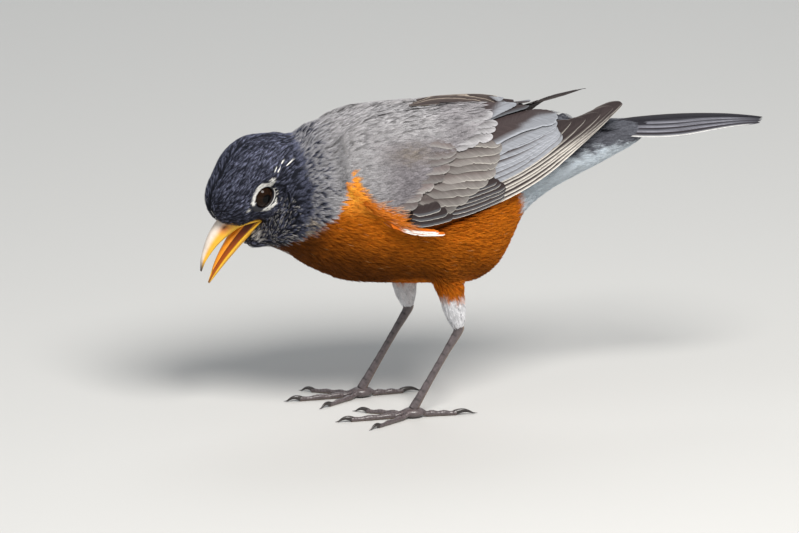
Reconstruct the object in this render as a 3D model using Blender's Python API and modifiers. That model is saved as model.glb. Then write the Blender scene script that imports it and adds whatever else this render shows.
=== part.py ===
"""An American robin at life size, leaning forward over its feet with its open bill turned to the ground.

Metres, +Z up. The bird faces -X and its left side is -Y. It stands on the flat undersides of its toes, at Z = 0.
Every size below is in millimetres and is scaled by MM where a mesh is made.
"""

import math

import bmesh
import bpy
import numpy as np
from mathutils import Matrix, Vector

MM = 0.001
GAP = 0.4  # between neighbouring pieces
FAR = 300  # beyond everything
BODY_CUTS = (-51, -39)  # x of the joins between the head, the neck and the trunk

# The trunk's sections: highest point (x, z), lowest point (x, z), half width, from the breast to the tail coverts.
TRUNK = {
    "crop": ((-52, 113), (-58, 68.5), 18),
    "breast": ((-43, 119), (-48, 61.5), 24),
    "shoulder": ((-29, 121.5), (-33, 54.3), 28.5),
    "keel": ((-12, 122.3), (-13, 52), 31),
    "belly": ((8, 122), (6, 50.8), 31.5),
    "thigh": ((24, 120), (20, 50.5), 29.5),
    "flank": ((37, 116.8), (29.5, 57), 24.5),
    "vent": ((49, 114), (36.5, 73), 18),
    "rump": ((60, 112.6), (50, 84), 14),
    "tail_root": ((74, 112), (70, 93), 11),
    "coverts": ((90, 111.5), (88, 101.5), 8),
}
TRUNK_ENDS = ((-57, 90), (96, 107.5))
BODY_VOXEL, BODY_KEPT = 1.6, 0.08  # size of the blended form's cells, and the share of its faces kept

# The head's own frame: X to the bill, Y to the bird's left, Z to the crown, about the point midway between the eyes.
HEAD_AT = (-70.8, -1.4, 94.3)
HEAD_FORWARD = (-0.682, -0.133, -0.719)
HEAD_LEFT = (0.323, -0.937, -0.134)
HEAD_FORMS = {  # centre and half axes
    "cranium": ((-5, 0, 1), (18.5, 14.8, 15.7)),
    "forehead": ((5, 0, 2), (13.5, 12, 12.5)),
    "cheeks": ((-8, 0, -8), (15.5, 16.5, 13.5)),
    "throat": ((5, 0, -18), (13, 10, 6.5)),
    "nape": ((-15, 0, -8), (14, 16.5, 14)),
}
NECK_FORMS = {  # in the bird's own frame
    "hind_neck": ((-50, 1, 93), (15, 20, 21)),
    "fore_neck": ((-54, 1, 80), (12, 16, 13)),
}

EYE_RADIUS = 4.7
EYE_AT = (0, 9.9, 0)  # in the head's frame
ORBIT_AT, ORBIT = (0, 17.1, 0), (8.5, 5.2, 8.5)  # the hollow that the eye sits in

# The bill's sections in the head's frame: x, height of the cutting edge, height of the ridge or keel, half width.
BILL_UPPER = {
    "gape": (6.8, -10.1, -8.8, 7.7),
    "base": (13.4, -6.4, -0.8, 5.2),
    "nostril": (18, -5.2, 0.4, 4.2),
    "middle": (25.3, -4.6, -1.0, 3.0),
    "hook": (32.5, -6.3, -4.6, 1.5),
    "tip": (36.8, -8.9, -8.3, 0.35),
}
BILL_LOWER = {
    "gape": (6.8, -10.7, -12.5, 7.5),
    "base": (13, -10.9, -15, 5.2),
    "chin": (20, -11.4, -15.2, 3.9),
    "middle": (29, -12.7, -15.3, 2.5),
    "tip": (38, -15.4, -16, 0.4),
}
BILL_ROWS = 11
TONGUE = {  # x, z and radius along the lower half of the bill
    "root": (14, -9.6, 0.9),
    "middle": (20, -9.9, 0.85),
    "front": (26, -10.8, 0.6),
    "tip": (30, -11.6, 0.3),
}

# The folded left wing's sections: lower edge, upper edge and bulge, from the shoulder to the tip.
WING = {
    "shoulder": ((-37, -25, 99), (-36, -14, 112.5), 3),
    "wrist": ((-27, -30, 89), (-24, -9, 118.8), 7),
    "alula": ((-12, -32, 78.5), (-8, -6, 121.6), 10.5),
    "coverts": ((6, -31.5, 82.5), (8, -4.5, 122.4), 11),
    "secondaries": ((27, -29, 90), (27, -4, 122), 9),
    "tertials": ((44, -24, 98.5), (42, -4.5, 119.5), 5.5),
    "primaries": ((60, -16, 106.5), (58, -7, 117.5), 2),
    "tip": ((79.5, -8.5, 119), (79, -8, 120.3), 0),
}
WING_THICK, WING_TIP_THICK, WING_CLEARANCE = 1.8, 0.8, 0.6
WING_ROWS, WING_COLUMNS = 22, 8
WING_CUTS = (0, 42)  # x of the joins between the coverts, the secondaries and the primaries
WING_SHORTER = {"left": 0, "right": 10}  # how much further forward the tip is held
WING_FOLD = 20  # x behind which that shows

# The closed tail's sections: height of its middle, half width, how far its edges hang, and its roll in degrees.
TAIL = {
    "root": (60, 107.5, 8, 3.5, 0),
    "coverts": (80, 110.2, 10.5, 4, 0),
    "middle": (103, 110.6, 12.5, 3, 0),
    "outer": (124, 109.3, 11.2, 1.6, 5),
    "tip": (139, 107.3, 8.5, 0.5, 9),
}
TAIL_ROWS, TAIL_COLUMNS = 12, 7
TAIL_THICK, TAIL_TIP_THICK = 1.8, 0.8
TAIL_ROUNDING = 4  # how much shorter the outer feathers are

HEELS = {"left": (11.4, -16, 33.8), "right": (-0.4, 17, 35)}
FEET = {"left": (-7.5, -17.5), "right": (-19.5, 17)}
KNEES = {"left": (6, -16, 62), "right": (-4, 16, 60)}
SHANK_RADII = (10, 7, 4.9, 4.2, 2.2)
ANKLE_HEIGHT = 3.4
TARSUS_RADII = (2.0, 1.5, 1.45, 1.6, 1.9)
PAD = (4.8, 3.4, 2.4)
TOES = {  # heading from straight ahead in degrees, length, radius, claw length
    "1": (176, 12, 1.25, 8.5),
    "2": (-34, 14, 1.1, 6),
    "3": (0, 20, 1.2, 6.5),
    "4": (34, 15.5, 1.05, 5.5),
}
TOE_START = 5.4
SOLE_CUT = 0.3  # how deep the toes' undersides are flattened

COLOURS = {  # base colour, roughness
    "black": ((0.012, 0.012, 0.016), 0.7),
    "grey": ((0.22, 0.22, 0.23), 0.75),
    "orange": ((0.55, 0.13, 0.015), 0.75),
    "wing": ((0.11, 0.095, 0.09), 0.6),
    "bill": ((0.85, 0.42, 0.03), 0.35),
    "tongue": ((0.8, 0.2, 0.03), 0.4),
    "eye": ((0.02, 0.01, 0.006), 0.05),
    "leg": ((0.05, 0.035, 0.035), 0.45),
    "claw": ((0.02, 0.018, 0.018), 0.35),
}


def material(name):
    made = bpy.data.materials.get(name)
    if made is None:
        made = bpy.data.materials.new(name)
        made.use_nodes = True
        shader = made.node_tree.nodes["Principled BSDF"]
        colour, roughness = COLOURS[name]
        shader.inputs["Base Color"].default_value = (*colour, 1)
        shader.inputs["Roughness"].default_value = roughness
        shader.inputs["Metallic"].default_value = 0
    return made


def add(name, mesh, collection, colour=None):
    obj = bpy.data.objects.new(name, mesh)
    collection.objects.link(obj)
    if colour:
        mesh.materials.clear()
        mesh.materials.append(material(colour))
    mesh.shade_smooth()
    return obj


def bake(obj):
    """Replaces the object's mesh by what its modifiers make of it."""
    bpy.context.view_layer.update()
    graph = bpy.context.evaluated_depsgraph_get()
    mesh = bpy.data.meshes.new_from_object(obj.evaluated_get(graph))
    obj.modifiers.clear()
    obj.data = mesh


def modify(obj, kind, **settings):
    modifier = obj.modifiers.new(kind.title(), kind)
    for key, value in settings.items():
        setattr(modifier, key, value)
    return modifier


def copy_of(obj, name):
    made = add(name, obj.data.copy(), helpers)
    made.matrix_world = obj.matrix_world
    return made


def grown(obj, by):
    """A hidden copy of a closed piece, swollen outwards, to cut its neighbours with a clear gap."""
    made = copy_of(obj, obj.name + ".grown")
    modify(made, "DISPLACE", strength=by * MM, mid_level=0)
    bake(made)
    return made


def cut(obj, cutter, operation="DIFFERENCE"):
    modify(obj, "BOOLEAN", operation=operation, solver="EXACT", object=cutter)
    bake(obj)
    keep_largest(obj)


def islands(shape):
    """The loose parts of a bmesh, as lists of faces."""
    found, seen = [], set()
    for start in shape.faces:
        if start in seen:
            continue
        part, waiting = [], [start]
        seen.add(start)
        while waiting:
            face = waiting.pop()
            part.append(face)
            for edge in face.edges:
                for other in edge.link_faces:
                    if other not in seen:
                        seen.add(other)
                        waiting.append(other)
        found.append(part)
    return found


def keep_largest(obj):
    """Removes the crumbs that a cut leaves."""
    shape = bmesh.new()
    shape.from_mesh(obj.data)
    parts = sorted(islands(shape), key=lambda part: sum(face.calc_area() for face in part))
    crumbs = [face for part in parts[:-1] for face in part]
    if crumbs:
        bmesh.ops.delete(shape, geom=crumbs, context="FACES")
        shape.to_mesh(obj.data)
    shape.free()


def box(name, low, high):
    """A hidden cutter between two corners."""
    shape = bmesh.new()
    size = [(b - a) * MM for a, b in zip(low, high)]
    middle = [(a + b) / 2 * MM for a, b in zip(low, high)]
    bmesh.ops.create_cube(shape, matrix=Matrix.Translation(middle) @ Matrix.Diagonal((*size, 1)))
    mesh = bpy.data.meshes.new(name)
    shape.to_mesh(mesh)
    shape.free()
    return add(name, mesh, helpers)


def smooth_through(values, count):
    """Rows read evenly from a Catmull-Rom curve through these rows."""
    rows = np.array(values, float)
    ends = np.vstack([2 * rows[0] - rows[1], rows, 2 * rows[-1] - rows[-2]])
    at = np.linspace(0, len(rows) - 1, count)
    start = np.minimum(at.astype(int), len(rows) - 2)
    t = (at - start)[:, None]
    before, here, there, after = (ends[start + k] for k in range(4))
    slope_here, slope_there = (there - before) / 2, (after - here) / 2
    return (
        (2 * t**3 - 3 * t**2 + 1) * here
        + (t**3 - 2 * t**2 + t) * slope_here
        + (3 * t**2 - 2 * t**3) * there
        + (t**3 - t**2) * slope_there
    )


def loft(name, rings, ends=None):
    """A closed skin over rings of points, with a pole at each end if ends gives them, or flat caps."""
    shape = bmesh.new()
    rows = [[shape.verts.new(Vector(point) * MM) for point in ring] for ring in rings]
    for a, b in zip(rows, rows[1:]):
        for i in range(len(a)):
            j = (i + 1) % len(a)
            shape.faces.new((a[i], a[j], b[j], b[i]))
    for row, pole in ((rows[0], 0), (rows[-1], 1)):
        if ends is None:
            shape.faces.new(row)
            continue
        top = shape.verts.new(Vector(ends[pole]) * MM)
        for i in range(len(row)):
            shape.faces.new((row[i], row[(i + 1) % len(row)], top))
    bmesh.ops.recalc_face_normals(shape, faces=shape.faces)
    mesh = bpy.data.meshes.new(name)
    shape.to_mesh(mesh)
    shape.free()
    return mesh


def sheet(name, rows):
    """An open surface over a grid of points."""
    shape = bmesh.new()
    grid = [[shape.verts.new(Vector(point) * MM) for point in row] for row in rows]
    for a, b in zip(grid, grid[1:]):
        for i in range(len(a) - 1):
            shape.faces.new((a[i], a[i + 1], b[i + 1], b[i]))
    mesh = bpy.data.meshes.new(name)
    shape.to_mesh(mesh)
    shape.free()
    return mesh


def blade(obj, columns, thick, tip_thick, offset):
    """Thickens a sheet whose rows run to its tip, thinner towards the tip."""
    group = obj.vertex_groups.new(name="thick")
    last = len(obj.data.vertices) // columns - 1
    for row in range(last + 1):
        weight = min(1.0, 2.2 * (1 - row / last))
        group.add(list(range(row * columns, (row + 1) * columns)), weight, "REPLACE")
    solid = modify(obj, "SOLIDIFY", thickness=thick * MM, offset=offset, vertex_group="thick")
    solid.thickness_vertex_group = tip_thick / thick
    bake(obj)
    shape = bmesh.new()
    shape.from_mesh(obj.data)
    bmesh.ops.recalc_face_normals(shape, faces=shape.faces)
    shape.to_mesh(obj.data)
    shape.free()


def ellipsoid(name, centre, half_axes, frame=None, segments=32):
    shape = bmesh.new()
    place = (frame or Matrix.Identity(4)) @ Matrix.Translation(Vector(centre) * MM)
    place = place @ Matrix.Diagonal((*(Vector(half_axes) * MM), 1))
    bmesh.ops.create_uvsphere(shape, u_segments=segments, v_segments=segments // 2, radius=1, matrix=place)
    mesh = bpy.data.meshes.new(name)
    shape.to_mesh(mesh)
    shape.free()
    return mesh


def tube(name, points, radii, collection, colour, sides=2):
    """A limb as a curve through points with a radius at each, closed at both ends and welded."""
    curve = bpy.data.curves.new(name, "CURVE")
    curve.dimensions = "3D"
    curve.bevel_depth = MM
    curve.bevel_resolution = sides
    curve.use_fill_caps = True
    spline = curve.splines.new("POLY")
    spline.points.add(len(points) - 1)
    for knot, point, radius in zip(spline.points, points, radii):
        knot.co = (*(Vector(point) * MM), 1)
        knot.radius = radius
    line = bpy.data.objects.new(name + ".line", curve)
    collection.objects.link(line)
    bpy.context.view_layer.update()
    graph = bpy.context.evaluated_depsgraph_get()
    mesh = bpy.data.meshes.new_from_object(line.evaluated_get(graph))
    bpy.data.objects.remove(line)
    shape = bmesh.new()
    shape.from_mesh(mesh)
    bmesh.ops.remove_doubles(shape, verts=shape.verts, dist=1e-6)
    bmesh.ops.recalc_face_normals(shape, faces=shape.faces)
    shape.to_mesh(mesh)
    shape.free()
    return add(name, mesh, collection, colour)


def head_frame():
    forward, left = Vector(HEAD_FORWARD).normalized(), Vector(HEAD_LEFT)
    left = (left - forward * left.dot(forward)).normalized()
    turn = Matrix((forward, left, forward.cross(left))).transposed().to_4x4()
    return Matrix.Translation(Vector(HEAD_AT) * MM) @ turn


def trunk_form():
    stations = [(*top, *bottom, half) for top, bottom, half in TRUNK.values()]
    rings = []
    for x1, z1, x0, z0, half in smooth_through(stations, 44):
        ring = []
        for i in range(40):
            angle = 2 * math.pi * i / 40
            side, rise = math.sin(angle), math.cos(angle)
            share = (1 + rise) / 2
            ring.append((x0 + (x1 - x0) * share, half * side, z0 + (z1 - z0) * share))
        rings.append(ring)
    ends = [(x, 0, z) for x, z in TRUNK_ENDS]
    return loft("trunk_form", rings, ends)


def body_form():
    """The whole feathered outline from forehead to tail coverts, as one smooth closed mesh."""
    frame = head_frame()
    meshes = [trunk_form()]
    meshes += [ellipsoid(name, *form, frame) for name, form in HEAD_FORMS.items()]
    meshes += [ellipsoid(name, *form) for name, form in NECK_FORMS.items()]
    shape = bmesh.new()
    for mesh in meshes:
        shape.from_mesh(mesh)
    whole = bpy.data.meshes.new("body")
    shape.to_mesh(whole)
    shape.free()
    body = add("body", whole, helpers)
    modify(body, "REMESH", mode="VOXEL", voxel_size=BODY_VOXEL * MM)
    modify(body, "SMOOTH", factor=0.5, iterations=16)
    modify(body, "DECIMATE", ratio=BODY_KEPT)
    bake(body)
    return body


def bill(name, frame, sections):
    """One half of the bill, lofted along its cutting edges: arched over or under, flat inside the mouth."""
    rings = []
    for x, edge, ridge, half in smooth_through(list(sections.values()), BILL_ROWS):
        ring = []
        for i in range(9):
            angle = math.pi * i / 8
            ring.append((x, half * math.cos(angle), edge + (ridge - edge) * math.sin(angle)))
        for k in (-0.5, 0, 0.5):
            ring.append((x, half * k, edge))
        rings.append(ring)
    mesh = loft(name, rings)
    mesh.transform(frame)
    return add(name, mesh, parts, "bill")


def mouth(frame):
    """A hidden wedge between the halves of the bill, to open the head behind them."""
    rings = []
    for (x, high, *_), (_, low, *_) in zip(BILL_UPPER.values(), BILL_LOWER.values()):
        rings.append([(x, side, z) for side, z in ((-9, low), (9, low), (9, high), (-9, high))])
    wedge = add("mouth", loft("mouth", rings), helpers)
    wedge.data.transform(frame)
    return wedge


def tongue(frame):
    points = [frame @ (Vector((x, 0, z)) * MM) / MM for x, z, radius in TONGUE.values()]
    return tube("tongue", points, [radius for x, z, radius in TONGUE.values()], parts, "tongue")


def wing(side, body):
    """One folded wing as a thin curved blade over the flank, cut into coverts, secondaries and primaries."""
    sign = -1 if side == "right" else 1
    rows = [(*low, *high, bulge) for low, high, bulge in WING.values()]
    grid = []
    for row in smooth_through(rows, WING_ROWS):
        low, high, bulge = Vector(row[:3]), Vector(row[3:6]), row[6]
        chord = high - low
        out = Vector((0, -chord.z, chord.y)).normalized()
        line = []
        for share in np.linspace(0, 1, WING_COLUMNS):
            point = low + chord * share + out * (bulge * 4 * share * (1 - share))
            fold = WING_SHORTER[side] * max(0, point.x - WING_FOLD) / (WING["tip"][0][0] - WING_FOLD)
            line.append((point.x - fold, sign * point.y, point.z))
        grid.append(line)
    whole = add("wing_" + side, sheet("wing_" + side, grid), helpers)
    modify(whole, "SHRINKWRAP", target=body, wrap_mode="OUTSIDE", offset=WING_CLEARANCE * MM)
    bake(whole)
    blade(whole, WING_COLUMNS, WING_THICK, WING_TIP_THICK, -sign)
    edges = (-FAR, *WING_CUTS, FAR)
    names = ("coverts", "secondaries", "primaries")
    made = []
    for name, low, high in zip(names, edges, edges[1:]):
        piece = add(f"wing_{side}_{name}", whole.data.copy(), parts, "grey" if name == "coverts" else "wing")
        slab = box(piece.name + ".slab", (low + GAP / 2, -FAR, -FAR), (high - GAP / 2, FAR, FAR))
        cut(piece, slab, "INTERSECT")
        made.append(piece)
    bpy.data.objects.remove(whole)
    return made


def tail(body):
    """Twelve closed feathers as one thin fan, arched across and turned a little at its tip."""
    rows = []
    for i, (x, z, half, droop, roll) in enumerate(smooth_through(list(TAIL.values()), TAIL_ROWS)):
        row = []
        for across in np.linspace(-1, 1, TAIL_COLUMNS):
            rounding = TAIL_ROUNDING * across**2 * (i / (TAIL_ROWS - 1)) ** 3
            lift = -droop * across**2 - half * across * math.tan(math.radians(roll))
            row.append((x - rounding, half * across, z + lift))
        rows.append(row)
    fan = add("tail", sheet("tail", rows), parts, "wing")
    blade(fan, TAIL_COLUMNS, TAIL_THICK, TAIL_TIP_THICK, 0)
    cut(fan, body)


def leg(side, body):
    heel, foot, knee = Vector(HEELS[side]), FEET[side], Vector(KNEES[side])
    ankle = Vector((*foot, ANKLE_HEIGHT))
    count = len(SHANK_RADII)
    points = [knee.lerp(heel + Vector((0, 0, 1.2)), i / (count - 1)) for i in range(count)]
    shank = tube("shank_" + side, points, SHANK_RADII, parts, "orange", 4)
    cut(shank, body)
    points = [heel.lerp(ankle, i / (len(TARSUS_RADII) - 1)) for i in range(len(TARSUS_RADII))]
    tarsus = tube("tarsus_" + side, points, TARSUS_RADII, parts, "leg")
    pad = add("pad", ellipsoid("pad", (*foot, PAD[2] - SOLE_CUT), PAD, segments=12), helpers)
    cut(tarsus, pad, "UNION")
    cut(tarsus, grown(shank, GAP))
    cut(tarsus, floor)
    for toe, (heading, length, radius, claw) in TOES.items():
        if side == "right":
            heading = -heading
        ahead = Vector((-math.cos(math.radians(heading)), -math.sin(math.radians(heading)), 0))
        start = Vector((*foot, 0))
        points, radii = [], []
        for share in np.linspace(0, 1, 7):
            swell = 1 + 0.12 * math.cos(share * 6 * math.pi)
            size = radius * (1 - 0.22 * share) * swell
            arch = 0.9 * math.sin(math.pi * share) ** 2 * (1 - share)
            points.append(start + ahead * (TOE_START + length * share) + Vector((0, 0, size - SOLE_CUT + arch * 0.3)))
            radii.append(size)
        piece = tube(f"toe_{side}_{toe}", points, radii, parts, "leg")
        cut(piece, floor)
        root = points[-1] + ahead * GAP
        points, radii = [], []
        for share in np.linspace(0, 1, 5):
            rise = 0.9 * math.sin(math.pi * min(1, share * 1.25)) - 0.35 * share
            points.append(root + ahead * (claw * share) + Vector((0, 0, rise)))
            radii.append(max(0.28, radius * 0.72 * (1 - share**1.3)))
        low = min(point.z - size for point, size in zip(points, radii))
        lift = Vector((0, 0, max(0, 0.02 - low)))
        tube(f"claw_{side}_{toe}", [point + lift for point in points], radii, parts, "claw", 1)


for old in list(bpy.data.objects):
    bpy.data.objects.remove(old)
parts = bpy.data.collections.new("robin")
helpers = bpy.data.collections.new("cutters")
for collection in (parts, helpers):
    bpy.context.scene.collection.children.link(collection)

floor = box("floor", (-FAR, -FAR, -FAR), (FAR, FAR, 0))
frame = head_frame()
body = body_form()
body_grown = grown(body, GAP)
halves = [bill("bill_upper", frame, BILL_UPPER), bill("bill_lower", frame, BILL_LOWER)]
tongue(frame)
for side, sign in (("left", 1), ("right", -1)):
    at = (EYE_AT[0], EYE_AT[1] * sign, EYE_AT[2])
    add("eye_" + side, ellipsoid("eye", at, (EYE_RADIUS,) * 3, frame, 16), parts, "eye")
    orbit_at = (ORBIT_AT[0], ORBIT_AT[1] * sign, ORBIT_AT[2])
    cut(body, add("orbit", ellipsoid("orbit", orbit_at, ORBIT, frame, 16), helpers))
    cut(body, add("socket", ellipsoid("socket", at, (EYE_RADIUS + GAP,) * 3, frame, 16), helpers))
for half in halves:
    cut(body, grown(half, GAP))
cut(body, mouth(frame))
for side in ("left", "right"):
    wing(side, body_grown)
    leg(side, body_grown)
tail(body_grown)

# The body is parted across the base of the hood and across the base of the neck.
edges = (-FAR, *BODY_CUTS, FAR)
for name, low, high, colour in zip(("head", "neck", "trunk"), edges, edges[1:], ("black", "grey", "orange")):
    piece = add(name, body.data.copy(), parts, colour)
    slab = box(name + ".slab", (low + GAP / 2, -FAR, -FAR), (high - GAP / 2, FAR, FAR))
    cut(piece, slab, "INTERSECT")
bpy.data.objects.remove(body)
for helper in helpers.objects:
    helper.hide_render = True
    helper.display_type = "WIRE"

# The origin is under the middle of the bird's box.
corners = np.array([vertex.co for obj in parts.objects for vertex in obj.data.vertices])
middle = (corners.min(0) + corners.max(0)) / 2
root = bpy.data.objects.new("robin", None)
parts.objects.link(root)
root.location = (-middle[0], -middle[1], 0)
for obj in parts.objects:
    if obj is not root:
        obj.parent = root
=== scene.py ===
"""An American robin at life size: its skin, plumage, bill, eyes and legs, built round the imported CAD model.

Sizes and places are in millimetres in the bird's own coordinates, the ones its solids were drawn in.
It faces -X, its left side is -Y, and it stands on Z = 0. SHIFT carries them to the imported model's frame.
Colours are linear. Each mesh carries its plumage or horn colours in a point attribute named Tint.
"""

import math

import bmesh
import bpy
import numpy as np
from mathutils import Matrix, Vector
from mathutils.bvhtree import BVHTree
from mathutils.kdtree import KDTree


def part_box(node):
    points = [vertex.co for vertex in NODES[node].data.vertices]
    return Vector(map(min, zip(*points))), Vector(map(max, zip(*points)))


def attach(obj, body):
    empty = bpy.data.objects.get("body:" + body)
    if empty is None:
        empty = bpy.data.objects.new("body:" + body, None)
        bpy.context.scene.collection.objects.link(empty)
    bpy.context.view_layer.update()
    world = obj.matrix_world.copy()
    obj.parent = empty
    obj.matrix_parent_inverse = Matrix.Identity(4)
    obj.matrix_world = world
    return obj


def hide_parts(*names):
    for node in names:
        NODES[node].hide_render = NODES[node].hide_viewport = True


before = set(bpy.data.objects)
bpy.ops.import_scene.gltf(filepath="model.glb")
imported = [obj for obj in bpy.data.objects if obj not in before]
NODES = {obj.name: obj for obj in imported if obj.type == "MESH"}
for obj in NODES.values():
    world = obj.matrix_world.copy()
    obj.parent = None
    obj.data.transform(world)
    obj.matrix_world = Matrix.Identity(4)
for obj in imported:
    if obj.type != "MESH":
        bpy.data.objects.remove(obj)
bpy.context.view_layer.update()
MM = 0.001
SIDES = {"left": 1, "right": -1}
TAIL_TIP_X = 139  # where the tail ends, in the bird's own coordinates
SHIFT = np.array([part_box("tail")[1].x / MM - TAIL_TIP_X, 0, 0])
rng = np.random.default_rng(11)

# The camera: round the bird from its left side, towards its bill, and above the horizon.
CAMERA_AZIMUTH, CAMERA_ELEVATION = -15, 15
CAMERA_AIM = (-8.4, 0, 57.2)
CAMERA_DISTANCE = 5000
CAMERA_LENS = 570.3
# Round lights: azimuth, elevation, distance, diameter, power and colour.
LIGHTS = {
    "key": (8, 50, 1500, 700, 31, (1, 0.975, 0.94)),
    "fill": (-75, 30, 1800, 1400, 5, (0.90, 0.95, 1)),
    "rim": (160, 45, 1600, 900, 5, (0.95, 0.98, 1)),
}
ROOM_COLOUR, ROOM_STRENGTH = (0.9, 0.95, 1, 1), 0.30
FLOOR_HALF = 4000
FLOOR_COLOUR, FLOOR_ROUGHNESS = (0.56, 0.555, 0.54, 1), 0.9

# The head's own frame about the point midway between the eyes:
# X to the bill, Y to the bird's left, Z to the crown.
HEAD_AT = np.array((-70.8, -1.4, 94.3))
HEAD_FORWARD = np.array((-0.682, -0.133, -0.719))
HEAD_LEFT = np.array((0.323, -0.937, -0.134))
EYE_RADIUS = 4.7

# The coat's feathers: how far apart they grow, their length and half their width.
HOOD_SPACING, HOOD_LENGTH, HOOD_WIDTH = 0.42, 3.8, 0.27
TRUNK_SPACING, TRUNK_LENGTH, TRUNK_WIDTH = 0.76, 5.2, 0.75
SHANK_SPACING, SHANK_LENGTH, SHANK_WIDTH = 0.85, 4.6, 0.85

# The skin and the layer that the feathers are laid on.
SWELL = 0.35  # closes the gaps between the solids
CELL = 0.8
MOTTLE_REACH = 8.5  # how far behind the hood the dark feathers run
# Where the top of the plumage draws in (or, below 0, swells): place behind the hood's edge, breadth, depth.
NAPE = ((-13.0, 4.0, 0.4), (-5.5, 3.5, -0.5), (1.0, 2.8, 1.0))
SHOULDER_SINK = 0.8  # how far it draws in over the shoulders
SEEN = 0.6  # a feather's colour is that of the place this share of its length behind its root
SHANK_TOP = 57  # height of the join between the coat of the trunk and that of the shanks
FILL = 2.6  # half the width of the grooves that the mantle's feathers bridge
OUTLINE_FILL = 0.6  # and of those that the head's and the shanks' bridge
FLESH_SMOOTHING, MANTLE_SMOOTHING = 6, 45
COAT_DEPTH = {"body": 1.6, "hood": 1.1, "face": 0.35, "shank": 0.9}
NECK_SPAN = (-64, -47)  # x over which the lie of the feathers turns from the head's to the body's

# Where the markings part, in side view: (x, z).
BREAST_TOP = (
    (-66, 66),
    (-60.7, 69),
    (-47.7, 78.7),
    (-41.2, 84.4),
    (-37.3, 92.6),
    (-34.8, 105.4),
    (-31.5, 98.4),
    (-26.5, 91.8),
    (-18, 87.5),
    (-12, 84.5),
)
VENT_EDGE = (36, 84, 0.25)  # a place on the front edge of the white undertail, and the edge's lean
BROWNISH = (-11, 109.5)  # the middle of the brownish patch on the shoulder

COLOURS = {
    "hood": (0.014, 0.015, 0.022),
    "hood_tip": (0.150, 0.160, 0.235),
    "mantle": (0.250, 0.240, 0.242),
    "mantle_tip": (0.45, 0.438, 0.452),
    "neck": (0.21, 0.21, 0.232),
    "breast": (0.39, 0.083, 0.002),
    "breast_tip": (0.56, 0.162, 0.006),
    # painted shade: the breast's orange darkened, as on the shaded underside and breast front
    "belly": (0.085, 0.021, 0.001),
    "belly_tip": (0.138, 0.038, 0.002),
    # painted light: the breast's orange made brighter at the bend of the wing, as where light falls on it
    "lit_wedge": (0.93, 0.31, 0.03),
    "lit_wedge_tip": (0.95, 0.44, 0.05),
    "vent": (0.51, 0.57, 0.63),
    "vent_tip": (0.63, 0.69, 0.74),
    "throat": (0.25, 0.24, 0.23),
    "throat_tip": (0.70, 0.67, 0.65),
    "shank": (0.63, 0.63, 0.65),
    "shank_tip": (0.77, 0.77, 0.79),
    "raised": (0.045, 0.034, 0.032),
    "raised_tip": (0.085, 0.067, 0.060),
    "beige": (0.40, 0.34, 0.28),
    "fleck": (0.75, 0.42, 0.18),
    "rump": (0.035, 0.036, 0.045),
    "rump_tip": (0.15, 0.155, 0.18),
    "white": (0.85, 0.84, 0.80),
    # painted shade: the skin deep inside the open mouth
    "mouth": (0.030, 0.010, 0.008),
    "quill": (0.055, 0.042, 0.042),
    "vane": (0.046, 0.034, 0.034),
    "vane_grey": (0.255, 0.265, 0.29),
    "fringe": (0.66, 0.62, 0.56),
    "rectrix": (0.019, 0.018, 0.023),
    "rectrix_outer": (0.27, 0.27, 0.31),
    "greater": (0.095, 0.078, 0.074),
    "greater_edge": (0.185, 0.170, 0.160),
    "greater_tip": (0.22, 0.208, 0.196),
    "median": (0.135, 0.112, 0.108),
    "median_edge": (0.205, 0.192, 0.187),
    # painted highlight: the ridge of the bill near its root, pale cream mostly as the sky's reflection on it
    "culmen_highlight": (0.77, 0.66, 0.56),
    "horn": (0.84, 0.42, 0.03),
    "horn_edge": (0.93, 0.53, 0.03),
    "horn_tip": (0.05, 0.038, 0.032),
    "nostril": (0.62, 0.17, 0.05),
    "nostril_slit": (0.03, 0.012, 0.008),
    "bill_inside": (0.42, 0.10, 0.006),
    # painted shade: the bill's lining deep in the mouth
    "gullet_shade": (0.10, 0.022, 0.010),
    "tongue": (0.90, 0.33, 0.02),
    "scute": (0.100, 0.080, 0.082),
    "scute_gap": (0.028, 0.021, 0.022),
    "sole": (0.27, 0.18, 0.11),
    "claw": (0.030, 0.024, 0.022),
    "pupil": (0.002, 0.002, 0.002),
    "pupil_rim": (0.008, 0.004, 0.003),
    "iris": (0.013, 0.006, 0.003),
    "eyeball": (0.01, 0.006, 0.005),
}


def colour(name):
    return np.array(COLOURS[name])


# Numbers and shapes.


def unit(vectors):
    return vectors / np.maximum(np.linalg.norm(vectors, axis=-1, keepdims=True), 1e-9)


def dot(a, b):
    return (a * b).sum(-1)


def step(value, low, high):
    """0 below low, 1 above high and smooth between."""
    t = np.clip((value - low) / (high - low), 0, 1)
    return t * t * (3 - 2 * t)


def blend(a, b, share):
    return a + (b - a) * np.asarray(share)[..., None]


def painted(tone, *coats):
    """A colour with others laid over it, each by its share."""
    for other, share in coats:
        tone = blend(tone, other, share)
    return tone


def smooth_through(values, at):
    """Rows read at shares 0 to 1 of a Catmull-Rom curve through these rows."""
    rows = np.array(values, float)
    ends = np.vstack([2 * rows[0] - rows[1], rows, 2 * rows[-1] - rows[-2]])
    at = np.asarray(at, float) * (len(rows) - 1)
    start = np.clip(at.astype(int), 0, len(rows) - 2)
    t = (at - start)[:, None]
    before, here, there, after = (ends[start + k] for k in range(4))
    held = (2 * t**3 - 3 * t**2 + 1) * here + (t**3 - 2 * t**2 + t) * (there - before) / 2
    return held + (3 * t**2 - 2 * t**3) * there + (t**3 - t**2) * (after - here) / 2


def evenly_through(values, count):
    """This many rows, evenly along the curve through these rows."""
    return smooth_through(values, np.linspace(0, 1, count))


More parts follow.
